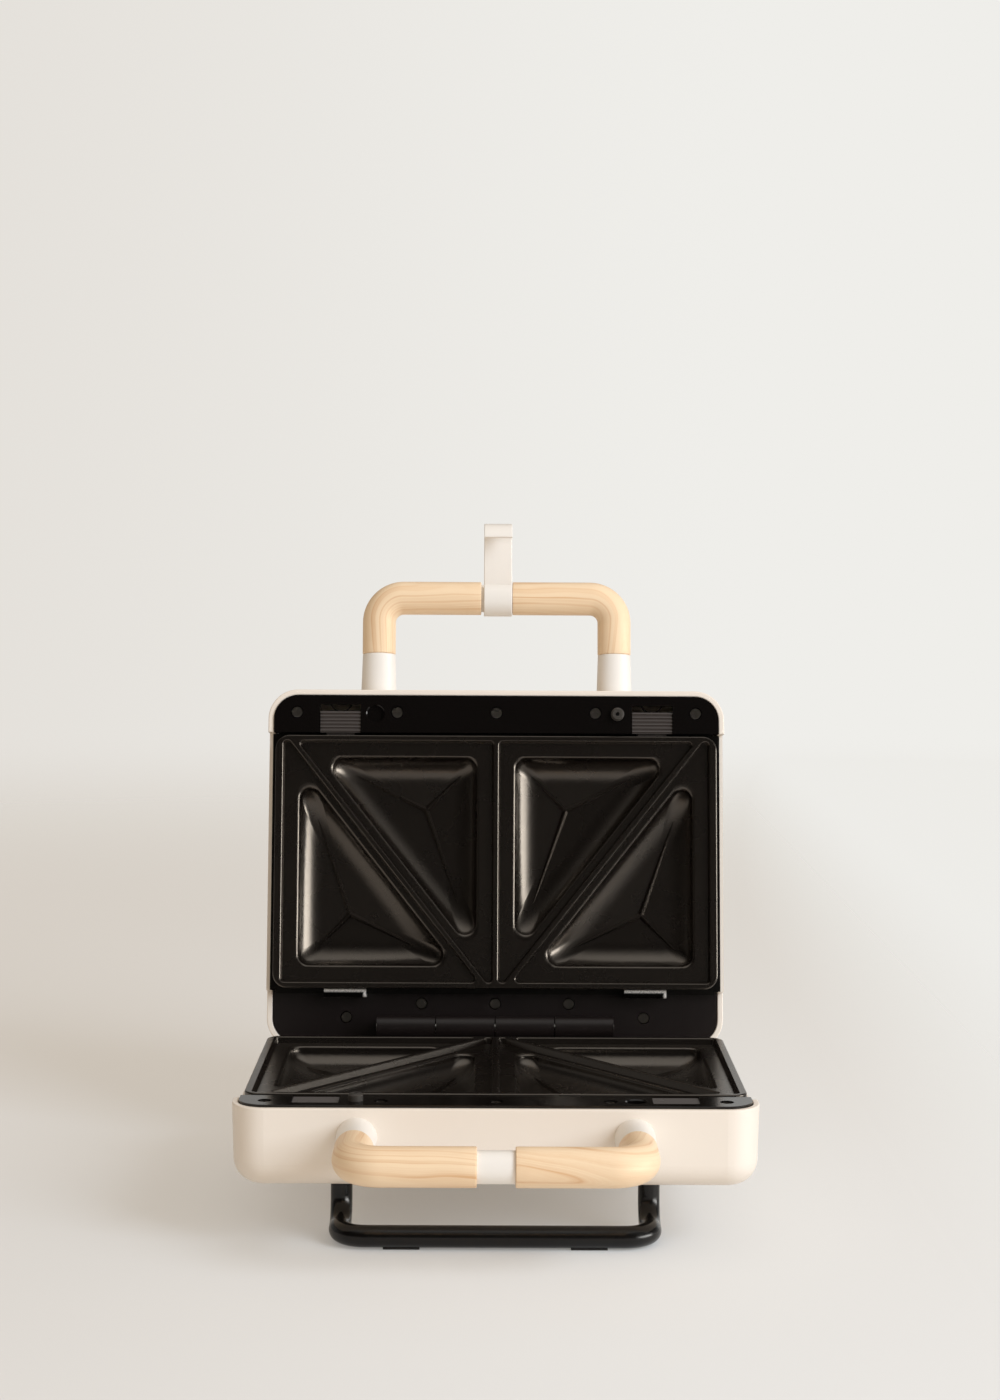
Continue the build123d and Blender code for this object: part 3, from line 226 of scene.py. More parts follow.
def per(*millimetres):
    """The scales that give a pattern these sizes."""
    return [1 / (size * MM) for size in millimetres]


def grained(name, colour, roughness, grain, relief, drift=0.06, metallic=0.0, ior=1.5):
    """A plain finish with a fine surface grain, a slow drift of colour and uneven gloss.

    Grain and relief are in metres, and drift is how far the colour varies.
    """
    material, tree = new_material(name)
    place = add(tree, "ShaderNodeTexCoord").outputs["Object"]
    fine = add(tree, "ShaderNodeTexNoise", {"Vector": place, "Scale": 1 / grain, "Detail": 2.0})
    broad = add(
        tree, "ShaderNodeTexNoise", {"Vector": place, "Scale": 1 / DRIFT_SIZE, "Detail": 3.0}
    )
    blend = add(
        tree,
        "ShaderNodeMix",
        {
            "Factor": broad.outputs["Fac"],
            COLOUR_A: tint(colour, 1 - drift),
            COLOUR_B: tint(colour, 1 + drift),
        },
        data_type="RGBA",
    )
    gloss = add(
        tree,
        "ShaderNodeMapRange",
        {
            "Value": broad.outputs["Fac"],
            "To Min": roughness - GLOSS_SPREAD,
            "To Max": roughness + GLOSS_SPREAD,
        },
    )
    bump = add(
        tree,
        "ShaderNodeBump",
        {"Height": fine.outputs["Fac"], "Distance": relief, "Strength": 1.0},
    )
    surface(
        tree,
        {
            "Base Color": blend.outputs[COLOUR_OUT],
            "Roughness": gloss.outputs["Result"],
            "Normal": bump.outputs["Normal"],
            "Metallic": metallic,
            "IOR": ior,
        },
    )
    return material


def nonstick_coat(settings):
    """Cast aluminium with a sprayed non-stick coat.

    To the eye: warm black, soft broad highlights on the curved walls, a light ripple and faint
    pale flecks. Its IOR is above a plain coat's, matched to the strong shine of the real plates.
    """
    fleck_reach, fleck_strength = 0.32, 0.3
    rub_size, ripple_height = 25 * MM, 0.012 * MM
    material, tree = new_material("nonstick_coat_on_cast_aluminium")
    place = add(tree, "ShaderNodeTexCoord").outputs["Object"]
    flecks = add(
        tree,
        "ShaderNodeTexVoronoi",
        {"Vector": place, "Scale": 1 / settings.fleck_size, "Randomness": 1.0},
    )
    dots = add(
        tree,
        "ShaderNodeValToRGB",
        {"Fac": flecks.outputs["Distance"]},
        stops=((0.0, grey(1)), (fleck_reach, grey(0))),
    )
    # Each fleck has its own strength, so only a few stand out.
    chance = add(tree, "ShaderNodeSeparateColor", {"Color": flecks.outputs["Color"]})
    few = add(
        tree,
        "ShaderNodeMath",
        {0: chance.outputs["Red"], 1: dots.outputs["Color"]},
        operation="MULTIPLY",
    )
    share = add(
        tree, "ShaderNodeMath", {0: few.outputs["Value"], 1: fleck_strength}, operation="MULTIPLY"
    )
    colour = add(
        tree,
        "ShaderNodeMix",
        {
            "Factor": share.outputs["Value"],
            COLOUR_A: list(settings.coat),
            COLOUR_B: list(settings.fleck),
        },
        data_type="RGBA",
    )
    ripple = add(
        tree, "ShaderNodeTexNoise", {"Vector": place, "Scale": 1 / settings.peel, "Detail": 2.0}
    )
    rub = add(tree, "ShaderNodeTexNoise", {"Vector": place, "Scale": 1 / rub_size, "Detail": 4.0})
    gloss = add(
        tree, "ShaderNodeMapRange", {"Value": rub.outputs["Fac"], "To Min": 0.24, "To Max": 0.31}
    )
    bump = add(
        tree,
        "ShaderNodeBump",
        {"Height": ripple.outputs["Fac"], "Distance": ripple_height, "Strength": 1.0},
    )
    surface(
        tree,
        {
            "Base Color": colour.outputs[COLOUR_OUT],
            "Roughness": gloss.outputs["Result"],
            "Normal": bump.outputs["Normal"],
            "IOR": 2.1,
            "Specular Tint": hex_colour("fff2e4"),
        },
    )
    return material


def blued_hooks(name, edge):
    """Blued spring steel, with a painted highlight along the edge toward the plate and at one end.

    To the eye: nearly black faces with a painted bright upper line and a painted bright right end.
    The edge is the direction from the hook's face to the plate.
    """
    grain_size = 0.7 * MM
    # Nearly black blued steel, and a pale tone for the painted highlights.
    blued, painted_highlight_steel = hex_colour("2b2826"), hex_colour("efebe4")
    material, tree = new_material(f"blued_spring_steel_{name}")
    place = add(tree, "ShaderNodeTexCoord").outputs["Object"]
    low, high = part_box(name)
    reach = low.y * edge.y + high.z * edge.z
    depth = add(tree, "ShaderNodeVectorMath", {0: place, 1: edge}, operation="DOT_PRODUCT")
    # A painted highlight along the edge toward the plate.
    painted_edge_highlight = add(
        tree,
        "ShaderNodeMapRange",
        {
            "Value": depth.outputs["Value"],
            "From Min": reach - HOOK_HIGHLIGHT_REACH,
            "From Max": reach - HOOK_HIGHLIGHT_REACH / 2,
        },
    )
    # The two hooks are a pitch apart, so the remainder is the place in from each one's right end.
    across = add(tree, "ShaderNodeSeparateXYZ", {"Vector": place})
    left = add(tree, "ShaderNodeMath", {0: high.x, 1: across.outputs["X"]}, operation="SUBTRACT")
    pitch = high.x - low.x - HOOK_WIDTH
    inward = add(
        tree, "ShaderNodeMath", {0: left.outputs["Value"], 1: pitch}, operation="FLOORED_MODULO"
    )
    # A painted highlight at each hook's right end.
    painted_end_highlight = add(
        tree,
        "ShaderNodeMapRange",
        {"Value": inward.outputs["Value"], "From Min": HOOK_HIGHLIGHT_REACH, "From Max": HOOK_HIGHLIGHT_REACH / 2},
    )
    # Both painted highlights together.
    painted_highlights = add(
        tree,
        "ShaderNodeMath",
        {0: painted_edge_highlight.outputs["Result"], 1: painted_end_highlight.outputs["Result"]},
        operation="MAXIMUM",
    )
    grain = add(
        tree, "ShaderNodeTexNoise", {"Vector": place, "Scale": 1 / grain_size, "Detail": 2.0}
    )
    gloss = add(
        tree, "ShaderNodeMapRange", {"Value": grain.outputs["Fac"], "To Min": 0.22, "To Max": 0.34}
    )
    colour = add(
        tree,
        "ShaderNodeMix",
        {"Factor": painted_highlights.outputs["Value"], COLOUR_A: blued, COLOUR_B: painted_highlight_steel},
        data_type="RGBA",
    )
    # The painted highlights are made less metallic, so they stay pale from every side.
    shine = add(
        tree, "ShaderNodeMapRange", {"Value": painted_highlights.outputs["Value"], "To Min": 1.0, "To Max": 0.35}
    )
    surface(
        tree,
        {
            "Base Color": colour.outputs[COLOUR_OUT],
            "Metallic": shine.outputs["Result"],
            "Roughness": gloss.outputs["Result"],
        },
    )
    return material


def oiled_pine(settings):
    """Pale pine, turned, bent and oiled.

    To the eye: warm cream with thin darker growth lines along the grip, fine fibres and a silky
    shine. The grain attribute holds the place in the straight rod: along, out from the bend, up.
    """
    # The tree's heart lies beside the rod, and the rings wander by up to the sway.
    pith, ring_sway = (0.0, 31 * MM, -24 * MM), 9 * MM
    fibre_strength, fibre_height = 0.22, 0.04 * MM
    material, tree = new_material("oiled_pale_pine")
    rod = add(tree, "ShaderNodeAttribute", attribute_name="grain").outputs["Vector"]
    slow = add(tree, "ShaderNodeMapping", {"Vector": rod, "Scale": per(90, 22, 22)})
    sway = add(
        tree,
        "ShaderNodeTexNoise",
        {"Vector": slow.outputs["Vector"], "Scale": 1.0, "Detail": 2.0},
    )
    # The rings change little along the rod.
    across = add(tree, "ShaderNodeMapping", {"Vector": rod, "Scale": (0.05, 1.0, 1.0)})
    heart = add(
        tree, "ShaderNodeVectorMath", {0: across.outputs["Vector"], 1: pith}, operation="DISTANCE"
    )
    push = add(
        tree,
        "ShaderNodeMath",
        {0: sway.outputs["Fac"], 1: ring_sway, 2: heart.outputs["Value"]},
        operation="MULTIPLY_ADD",
    )
    count = add(
        tree, "ShaderNodeMath", {0: push.outputs["Value"], 1: settings.ring}, operation="DIVIDE"
    )
    # No two years are alike, so the lines differ in strength and spacing.
    years = add(
        tree,
        "ShaderNodeTexNoise",
        {"W": count.outputs["Value"], "Scale": 1.0, "Detail": 3.0, "Roughness": 0.65},
        noise_dimensions="1D",
    )
    rings = add(
        tree,
        "ShaderNodeValToRGB",
        {"Fac": years.outputs["Fac"]},
        stops=((0.4, grey(0)), (0.56, grey(0.35)), (0.7, grey(1))),
    )
    stretch = add(tree, "ShaderNodeMapping", {"Vector": rod, "Scale": per(14, 0.5, 0.5)})
    fibre = add(
        tree,
        "ShaderNodeTexNoise",
        {"Vector": stretch.outputs["Vector"], "Scale": 1.0, "Detail": 3.0},
    )
    # In long patches the lines are fainter. The patches lie apart from the sway.
    patch = add(
        tree,
        "ShaderNodeMapping",
        {"Vector": rod, "Scale": per(60, 7, 7), "Location": (3.1, 1.7, 5.2)},
    )
    streak = add(
        tree,
        "ShaderNodeTexNoise",
        {"Vector": patch.outputs["Vector"], "Scale": 1.0, "Detail": 1.0},
    )
    strength = add(
        tree,
        "ShaderNodeMapRange",
        {
            "Value": streak.outputs["Fac"],
            "From Min": 0.35,
            "From Max": 0.7,
            "To Min": 0.2,
            "To Max": 0.9,
        },
    )
    lines = add(
        tree,
        "ShaderNodeMath",
        {0: rings.outputs["Color"], 1: strength.outputs["Result"]},
        operation="MULTIPLY",
    )
    fine = add(
        tree,
        "ShaderNodeMath",
        {0: fibre.outputs["Fac"], 1: fibre_strength, 2: -fibre_strength / 2},
        operation="MULTIPLY_ADD",
    )
    total = add(
        tree,
        "ShaderNodeMath",
        {0: lines.outputs["Value"], 1: fine.outputs["Value"]},
        operation="ADD",
        use_clamp=True,
    )
    colour = add(
        tree,
        "ShaderNodeMix",
        {
            "Factor": total.outputs["Value"],
            COLOUR_A: list(settings.pale),
            COLOUR_B: list(settings.late),
        },
        data_type="RGBA",
    )
    gloss = add(
        tree, "ShaderNodeMapRange", {"Value": fibre.outputs["Fac"], "To Min": 0.36, "To Max": 0.5}
    )
    bump = add(
        tree,
        "ShaderNodeBump",
        {"Height": fibre.outputs["Fac"], "Distance": fibre_height, "Strength": 0.6},
    )
    surface(
        tree,
        {
            "Base Color": colour.outputs[COLOUR_OUT],
            "Roughness": gloss.outputs["Result"],
            "Normal": bump.outputs["Normal"],
            "IOR": 1.5,
        },
    )
    return material


def dress(material, *names):
    """Gives CAD nodes a finish."""
    for name in names:
        for slot in frame["nodes"][name].material_slots:
            slot.material = material


def both(*endings):
    """The names of pieces that the base and the lid both have."""
    return [f"{half}_{ending}" for half in ("base", "lid") for ending in endings]


def both_levels(*endings):
    """The names of pieces that the lower and the upper side both have."""
    return [f"{level}_{ending}" for level in ("lower", "upper") for ending in endings]


class TOASTER_OT_casing(bpy.types.Operator):
    """Gives the two casing halves their moulded cream finish"""

    bl_idname = "toaster.casing"
    bl_label = "Casing"

    def execute(self, context):
        settings = context.scene.toaster_casing
        # Injection-moulded ABS: even cream with a satin sheen and a very fine pebble.
        cream = grained(
            "moulded_cream_abs",
            settings.cream,
            roughness=0.36,
            grain=settings.pebble,
            relief=0.012 * MM,
            drift=0.015,
        )
        dress(cream, "base_shell", "lid_shell")
        return {"FINISHED"}


class TOASTER_OT_trims(bpy.types.Operator):
    """Gives the black trims, the hinge and the locating pegs their finishes"""

    bl_idname = "toaster.trims"
    bl_label = "Trims and hinge"

    def execute(self, context):
        settings = context.scene.toaster_casing
        # Glass-filled polyester: deep black, fairly glossy.
        gloss = grained(
            "moulded_black_polyester",
            settings.black,
            roughness=0.16,
            grain=settings.pebble,
            relief=0.004 * MM,
        )
        dress(gloss, *both("front_trim"))
        # The same polyester from a spark-eroded mould: matt black.
        matt = grained(
            "spark_textured_black_polyester",
            hex_colour("1a1413"),
            roughness=0.42,
            grain=0.8 * MM,
            relief=0.03 * MM,
        )
        dress(matt, *both("rear_trim"))
        # Moulded nylon: dark grey and dull, so the pegs show against the gloss.
        pegs = grained(
            "moulded_grey_nylon",
            hex_colour("3a3632"),
            roughness=0.6,
            grain=0.8 * MM,
            relief=0.02 * MM,
        )
        dress(pegs, *both("locating_peg"))
        return {"FINISHED"}


class TOASTER_OT_plates(bpy.types.Operator):
    """Gives the two baking plates their non-stick coat"""

    bl_idname = "toaster.plates"
    bl_label = "Baking plates"

    def execute(self, context):
        dress(nonstick_coat(context.scene.toaster_plates), *both_levels("plate"))
        return {"FINISHED"}


class TOASTER_OT_fittings(bpy.types.Operator):
    """Gives the ferrules, sleeves, latch, buttons, hooks and screws their finishes"""

    bl_idname = "toaster.fittings"
    bl_label = "Fittings"

    def execute(self, context):
        settings = context.scene.toaster_casing
        # Moulded acetal: clean white with a soft sheen.
        white = grained(
            "moulded_white_acetal",
            settings.white,
            roughness=0.34,
            grain=settings.pebble,
            relief=0.008 * MM,
            drift=0.012,
        )
        dress(white, *both("handle_ferrules", "handle_sleeve"), "latch_clip")
        # Nylon slides: dark grey-brown with a soft shine on each rib.
        button = grained(
            "moulded_grey_nylon_slide",
            hex_colour("423c39"),
            roughness=0.26,
            grain=0.9 * MM,
            relief=0.02 * MM,
        )
        dress(button, *both_levels("release_left", "release_right"))
        # The plate lies in front of the base's hooks, and the lid's turn carries that along.
        front = Vector((0, -1, 0))
        for level, edge in (("lower", front), ("upper", OPEN_TURN.to_3x3() @ front)):
            hooks = f"{level}_plate_hooks"
            dress(blued_hooks(hooks, edge), hooks)
        # Zinc-nickel on steel: grey heads that mirror the dim room, with glints at the cross.
        screw = grained(
            "zinc_nickel_screw_steel",
            hex_colour("b0aaa2"),
            roughness=0.28,
            grain=0.5 * MM,
            relief=0.01 * MM,
            metallic=1.0,
        )
        dress(screw, *both("trim_screws"), "stand_screws")
        return {"FINISHED"}


class TOASTER_OT_stand(bpy.types.Operator):
    """Gives the wire stand and its pads their finishes"""

    bl_idname = "toaster.stand"
    bl_label = "Stand"

    def execute(self, context):
        # Powder-coated steel rod: glossy black with a slow ripple.
        coat = grained(
            "black_powder_coat",
            hex_colour("0e0c0b"),
            roughness=0.22,
            grain=1.6 * MM,
            relief=0.03 * MM,
        )
        dress(coat, "front_stand", "rear_stand")
        # Die-cut rubber: dull dark grey.
        rubber = grained(
            "die_cut_rubber",
            hex_colour("211f1e"),
            roughness=0.75,
            grain=0.7 * MM,
            relief=0.05 * MM,
        )
        dress(rubber, "stand_pads")
        return {"FINISHED"}


class TOASTER_OT_insides(bpy.types.Operator):
    """Gives the heaters, trays, leads, lamps and hidden steel their finishes"""

    bl_idname = "toaster.insides"
    bl_label = "Insides and lamps"

    def execute(self, context):
        # Drawn and plated steel: bright with fine uneven gloss.
        steel = grained(
            "zinc_plated_steel",
            hex_colour("b3b1ad"),
            roughness=0.32,
            grain=0.8 * MM,
            relief=0.02 * MM,
            metallic=1.0,
        )
        dress(steel, "hinge_pin", "thermostat", *both_levels("thermal_fuse"))
        # Phosphated and oiled steel: nearly black.
        rod = grained(
            "phosphated_oiled_steel",
            hex_colour("2b2927"),
            roughness=0.5,
            grain=0.8 * MM,
            relief=0.02 * MM,
            metallic=0.8,
        )
        dress(rod, *both("handle_rod", "handle_nuts"))
        # Tempered spring strip: blackened by its heat treatment, with a faint shine.
        spring = grained(
            "tempered_spring_steel",
            hex_colour("1f1d1b"),
            roughness=0.4,
            grain=0.6 * MM,
            relief=0.01 * MM,
            metallic=0.6,
        )
        dress(spring, *both_levels("release_springs"))
        # Blued steel sheet: dark and cloudy.
        tray = grained(
            "blued_steel_sheet",
            hex_colour("2a2826"),
            roughness=0.42,
            grain=2.0 * MM,
            relief=0.04 * MM,
            metallic=0.9,
        )
        dress(tray, *both_levels("heat_tray", "heater_cradles"))
        # Heater sheath: nickel alloy, dulled brown-grey by heat.
        sheath = grained(
            "heat_dulled_nickel_sheath",
            hex_colour("6f6860"),
            roughness=0.45,
            grain=0.9 * MM,
            relief=0.03 * MM,
            metallic=1.0,
        )
        dress(sheath, *both_levels("heater_tube"))
        # Steatite: off-white and slightly rough.
        ceramic = grained(
            "fired_steatite",
            hex_colour("e9e2d6"),
            roughness=0.5,
            grain=0.8 * MM,
            relief=0.03 * MM,
        )
        dress(ceramic, *both_levels("heater_ends"), "terminal_block")
        # Silicone-covered leads: soft brick red.
        lead = grained(
            "silicone_lead_cover",
            hex_colour("a4483a"),
            roughness=0.55,
            grain=0.9 * MM,
            relief=0.03 * MM,
        )
        dress(lead, *both("wiring"))
        # Moulded rubber: black with a dull bloom.
        gland = grained(
            "moulded_black_gland_rubber",
            hex_colour("1c1a19"),
            roughness=0.6,
            grain=0.8 * MM,
            relief=0.04 * MM,
        )
        dress(gland, "cord_gland")
        # Tinted polycarbonate lenses: glossy, deep colour.
        for node, name, code in (
            ("power_lamp", "red_polycarbonate_lens", "b4231c"),
            ("ready_lamp", "green_polycarbonate_lens", "2f8f3a"),
        ):
            lens = grained(
                name,
                hex_colour(code),
                roughness=0.16,
                grain=1.2 * MM,
                relief=0.004 * MM,
                ior=1.58,
            )
            dress(lens, node)
        return {"FINISHED"}


# Editing by hand


def only(obj):
    """Selects one object and makes it active."""
    bpy.ops.object.select_all(action="DESELECT")
    obj.select_set(True)
    bpy.context.view_layer.objects.active = obj


def select_edges(obj, test):
    """In edit mode, selects the edges whose two ends both pass a test."""
    bpy.ops.mesh.select_mode(type="EDGE")
    bpy.ops.mesh.select_all(action="DESELECT")
    shape = bmesh.from_edit_mesh(obj.data)
    for edge in shape.edges:
        edge.select_set(all(test(v.co) for v in edge.verts))
    bmesh.update_edit_mesh(obj.data)


# Return springs


def leaf_spring(level, side, sign):
    """One return spring of a half, as a piece of its own.

    The CAD mesh of the half's pair is copied and merged, and the other spring is deleted.
    """
    pair = f"{level}_release_springs"
    spring = bpy.data.objects.new(f"{level}_{side}_leaf_spring", frame["nodes"][pair].data.copy())
    bpy.context.collection.objects.link(spring)
    only(spring)
    bpy.ops.mesh.customdata_custom_splitnormals_clear()
    bpy.ops.object.mode_set(mode="EDIT")
    bpy.ops.mesh.select_all(action="SELECT")
    bpy.ops.mesh.remove_doubles(threshold=WELD)
    select_edges(spring, lambda co: co.x * sign < 0)
    bpy.ops.mesh.delete(type="VERT")
    bpy.ops.object.mode_set(mode="OBJECT")
    bpy.ops.object.shade_smooth_by_angle(angle=SMOOTH_ANGLE)
    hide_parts(pair)
    return spring


class TOASTER_OT_springs(bpy.types.Operator):
    """Makes the four return springs, each as a piece of its own"""

    bl_idname = "toaster.springs"
    bl_label = "Return springs"

    def execute(self, context):
        for level, body in (("lower", "base"), ("upper", "lid")):
            for side, sign in (("left", -1), ("right", 1)):
                spring = leaf_spring(level, side, sign)
                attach(spring, body)
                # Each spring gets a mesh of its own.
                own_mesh(spring)
        return {"FINISHED"}


# Wooden grips


def grip_measures(node):
    """Radius, height, lines of leg and bar, bend's centre and ends of a base grip, from its box."""
    low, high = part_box(node)
    side = 1 if low.x > 0 else -1
    radius = (high.z - low.z) / 2
    leg = (high.x - radius) if side > 0 else (low.x + radius)
    bar = low.y + radius
    return {
        "side": side,
        "radius": radius,
        "z": (high.z + low.z) / 2,
        "leg": leg,
        "bar": bar,
        "bend_x": leg - side * GRIP_BEND,
        "bend_y": bar + GRIP_BEND,
        "end": high.y,
        "middle": low.x if side > 0 else high.x,
    }


def turned_grip(name, m, settings):
    """A rod drawn from the ferrule, round the bend and on to the middle, with rounded ends."""
    bpy.ops.object.select_all(action="DESELECT")
    bpy.ops.mesh.primitive_circle_add(
        vertices=settings.sides,
        radius=m["radius"],
        location=(m["leg"], m["end"], m["z"]),
        rotation=(pi / 2, 0, 0),
    )
    grip = bpy.context.active_object
    grip.name = name
    bpy.ops.object.transform_apply(location=True, rotation=True, scale=True)
    bpy.ops.object.mode_set(mode="EDIT")
    for _ in range(RUN_STEPS):
        bpy.ops.mesh.extrude_region_move(
            TRANSFORM_OT_translate={"value": (0, (m["bend_y"] - m["end"]) / RUN_STEPS, 0)}
        )
    bpy.ops.mesh.spin(
        steps=BEND_STEPS,
        angle=m["side"] * pi / 2,
        center=(m["bend_x"], m["bend_y"], m["z"]),
        axis=(0, 0, 1),
    )
    for _ in range(RUN_STEPS):
        bpy.ops.mesh.extrude_region_move(
            TRANSFORM_OT_translate={"value": ((m["middle"] - m["bend_x"]) / RUN_STEPS, 0, 0)}
        )
    for test in (
        lambda co: abs(co.y - m["end"]) < WELD,
        lambda co: abs(co.x - m["middle"]) < WELD,
    ):
        select_edges(grip, test)
        bpy.ops.mesh.edge_face_add()
        bpy.ops.mesh.bevel(offset=settings.edge, segments=END_STEPS, affect="EDGES")
    bpy.ops.mesh.select_all(action="SELECT")
    bpy.ops.mesh.remove_doubles(threshold=WELD)
    bpy.ops.mesh.normals_make_consistent(inside=False)
    bpy.ops.object.mode_set(mode="OBJECT")
    bpy.ops.object.shade_smooth_by_angle(angle=SMOOTH_ANGLE)
    return grip


def write_grain(grip, m, shift, tilt):
    """Stores each point's place in the straight rod that the grip was bent from.

    The shift says which stretch of wood the rod is, and the tilt how far it was cut off the grain.
    """
    leg_run = m["end"] - m["bend_y"]
    layer = grip.data.attributes.new("grain", "FLOAT_VECTOR", "POINT")
    for vertex in grip.data.vertices:
        x, y, z = vertex.co
        out = m["side"] * (x - m["bend_x"])
        if y > m["bend_y"]:
            along, offset = m["end"] - y, m["side"] * (x - m["leg"])
        elif out < 0:
            along, offset = leg_run + GRIP_BEND * pi / 2 - out, m["bar"] - y
        else:
            turn = atan2(m["bend_y"] - y, out)
            along = leg_run + GRIP_BEND * turn
            offset = Vector((out, m["bend_y"] - y)).length - GRIP_BEND
        layer.data[vertex.index].vector = Vector((along, offset, z - m["z"] + tilt * along)) + shift


class TOASTER_OT_grips(bpy.types.Operator):
    """Models the four wooden grips and gives them their grain"""

    bl_idname = "toaster.grips"
    bl_label = "Wooden grips"

    def execute(self, context):
        settings = context.scene.toaster_wood
        pine = oiled_pine(settings)
        # Each grip is another stretch of wood. Only the base's right one is cut well off the grain.
        lid_along, right_along, right_out = 0.31, 0.13, 9 * MM
        straight, slanted = 0.03, -0.3
        # The lid's handle is the base's, lifted by twice its distance to the hinge and swung open.
        swing = Matrix.Translation(HINGE) @ OPEN_TURN @ Matrix.Translation(-HINGE)
        for number, side in enumerate(("left", "right")):
            m = grip_measures(f"base_handle_grip_{side}")
            lift = Matrix.Translation((0, 0, 2 * (HINGE.z - m["z"])))
            for half, turn in (("base", Matrix.Identity(4)), ("lid", swing @ lift)):
                grip = turned_grip(f"{half}_wooden_grip_{side}", m, settings)
                along = right_along * number + (lid_along if half == "lid" else 0)
                tilt = slanted if (half, side) == ("base", "right") else straight
                write_grain(grip, m, Vector((along, right_out * number, 0)), tilt)
                only(grip)
                grip.matrix_world = turn
                bpy.ops.object.transform_apply(location=True, rotation=True, scale=True)
                grip.data.materials.append(pine)
                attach(grip, half)
                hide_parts(f"{half}_handle_grip_{side}")
        return {"FINISHED"}


# Studio

# The paper reaches this far round the object and lies just under its pads.
FLOOR_RADIUS = 3.0
FLOOR_SIDES = 96
FLOOR_DROP = 0.2 * MM
# Colours of the even light and of the lamp, linear.
WARM_FILL = (1.0, 0.85, 0.69, 1.0)
COOL_KEY = (0.77, 0.87, 1.0)
# The lamp's place, the point that it is aimed at, and its width and height, in metres.
LAMP_PLACE = Vector((1.46, -1.31, 1.06))
LAMP_AIM = Vector((0.0, 0.0, 0.13))
LAMP_SIZE = (1.0, 1.35)
# The eye is 1.16 m in front of the middle and about as high as the raised latch. It looks a
# little down, and pans and rolls by less than a third of a degree.
EYE = (-4.317 * MM, -1155.35 * MM, 312.12 * MM)
EYE_HEADING, EYE_DIP, EYE_ROLL = radians(-0.275), radians(3.835), radians(0.298)
SENSOR_WIDTH = 36.0


def paper_floor(settings):
    """Matt paper near the object; further out it gives way to the background."""
    fibre_size, fibre_height = 3 * MM, 0.02 * MM
    material, tree = new_material("matt_studio_paper")
    place = add(tree, "ShaderNodeTexCoord").outputs["Object"]
    fibre = add(
        tree, "ShaderNodeTexNoise", {"Vector": place, "Scale": 1 / fibre_size, "Detail": 2.0}
    )
    bump = add(
        tree,
        "ShaderNodeBump",
        {"Height": fibre.outputs["Fac"], "Distance": fibre_height, "Strength": 0.5},
    )
    paper = add(
        tree,
        "ShaderNodeBsdfPrincipled",
        {
            "Base Color": list(settings.paper),
            "Roughness": 0.9,
            "Specular IOR Level": 0.2,
            "Normal": bump.outputs["Normal"],
        },
    )
    away = add(tree, "ShaderNodeVectorMath", {0: place}, operation="LENGTH")
    fade = add(
        tree,
        "ShaderNodeMapRange",
        {"Value": away.outputs["Value"], "From Min": 0.4, "From Max": 2.9, "To Min": 0.3},
        interpolation_type="SMOOTHERSTEP",
    )
    # The lit side has no shadow to show, so the background takes over close to the object there.
    aside = add(tree, "ShaderNodeSeparateXYZ", {"Vector": place})
    lit = add(
        tree,
        "ShaderNodeMapRange",
        {"Value": aside.outputs["X"], "From Min": 0.08, "From Max": 0.4, "To Max": 0.95},
        interpolation_type="SMOOTHSTEP",
    )
    # Right under the object the paper is more solid, so its shade there stays deep.
    near = add(
        tree,
        "ShaderNodeMapRange",
        {"Value": away.outputs["Value"], "From Min": 0.04, "From Max": 0.14, "To Min": 0.55},
        interpolation_type="SMOOTHSTEP",
    )
    thin = add(
        tree,
        "ShaderNodeMath",
        {0: fade.outputs["Result"], 1: near.outputs["Result"]},
        operation="MULTIPLY",
    )
    gone = add(
        tree,
        "ShaderNodeMath",
        {0: thin.outputs["Value"], 1: lit.outputs["Result"]},
        operation="MAXIMUM",
    )
    clear = add(tree, "ShaderNodeBsdfTransparent")
    mixed = add(
        tree,
        "ShaderNodeMixShader",
        {"Fac": gone.outputs["Value"], 1: paper.outputs["BSDF"], 2: clear.outputs["BSDF"]},
    )
    add(tree, "ShaderNodeOutputMaterial", {"Surface": mixed.outputs["Shader"]})
    return material


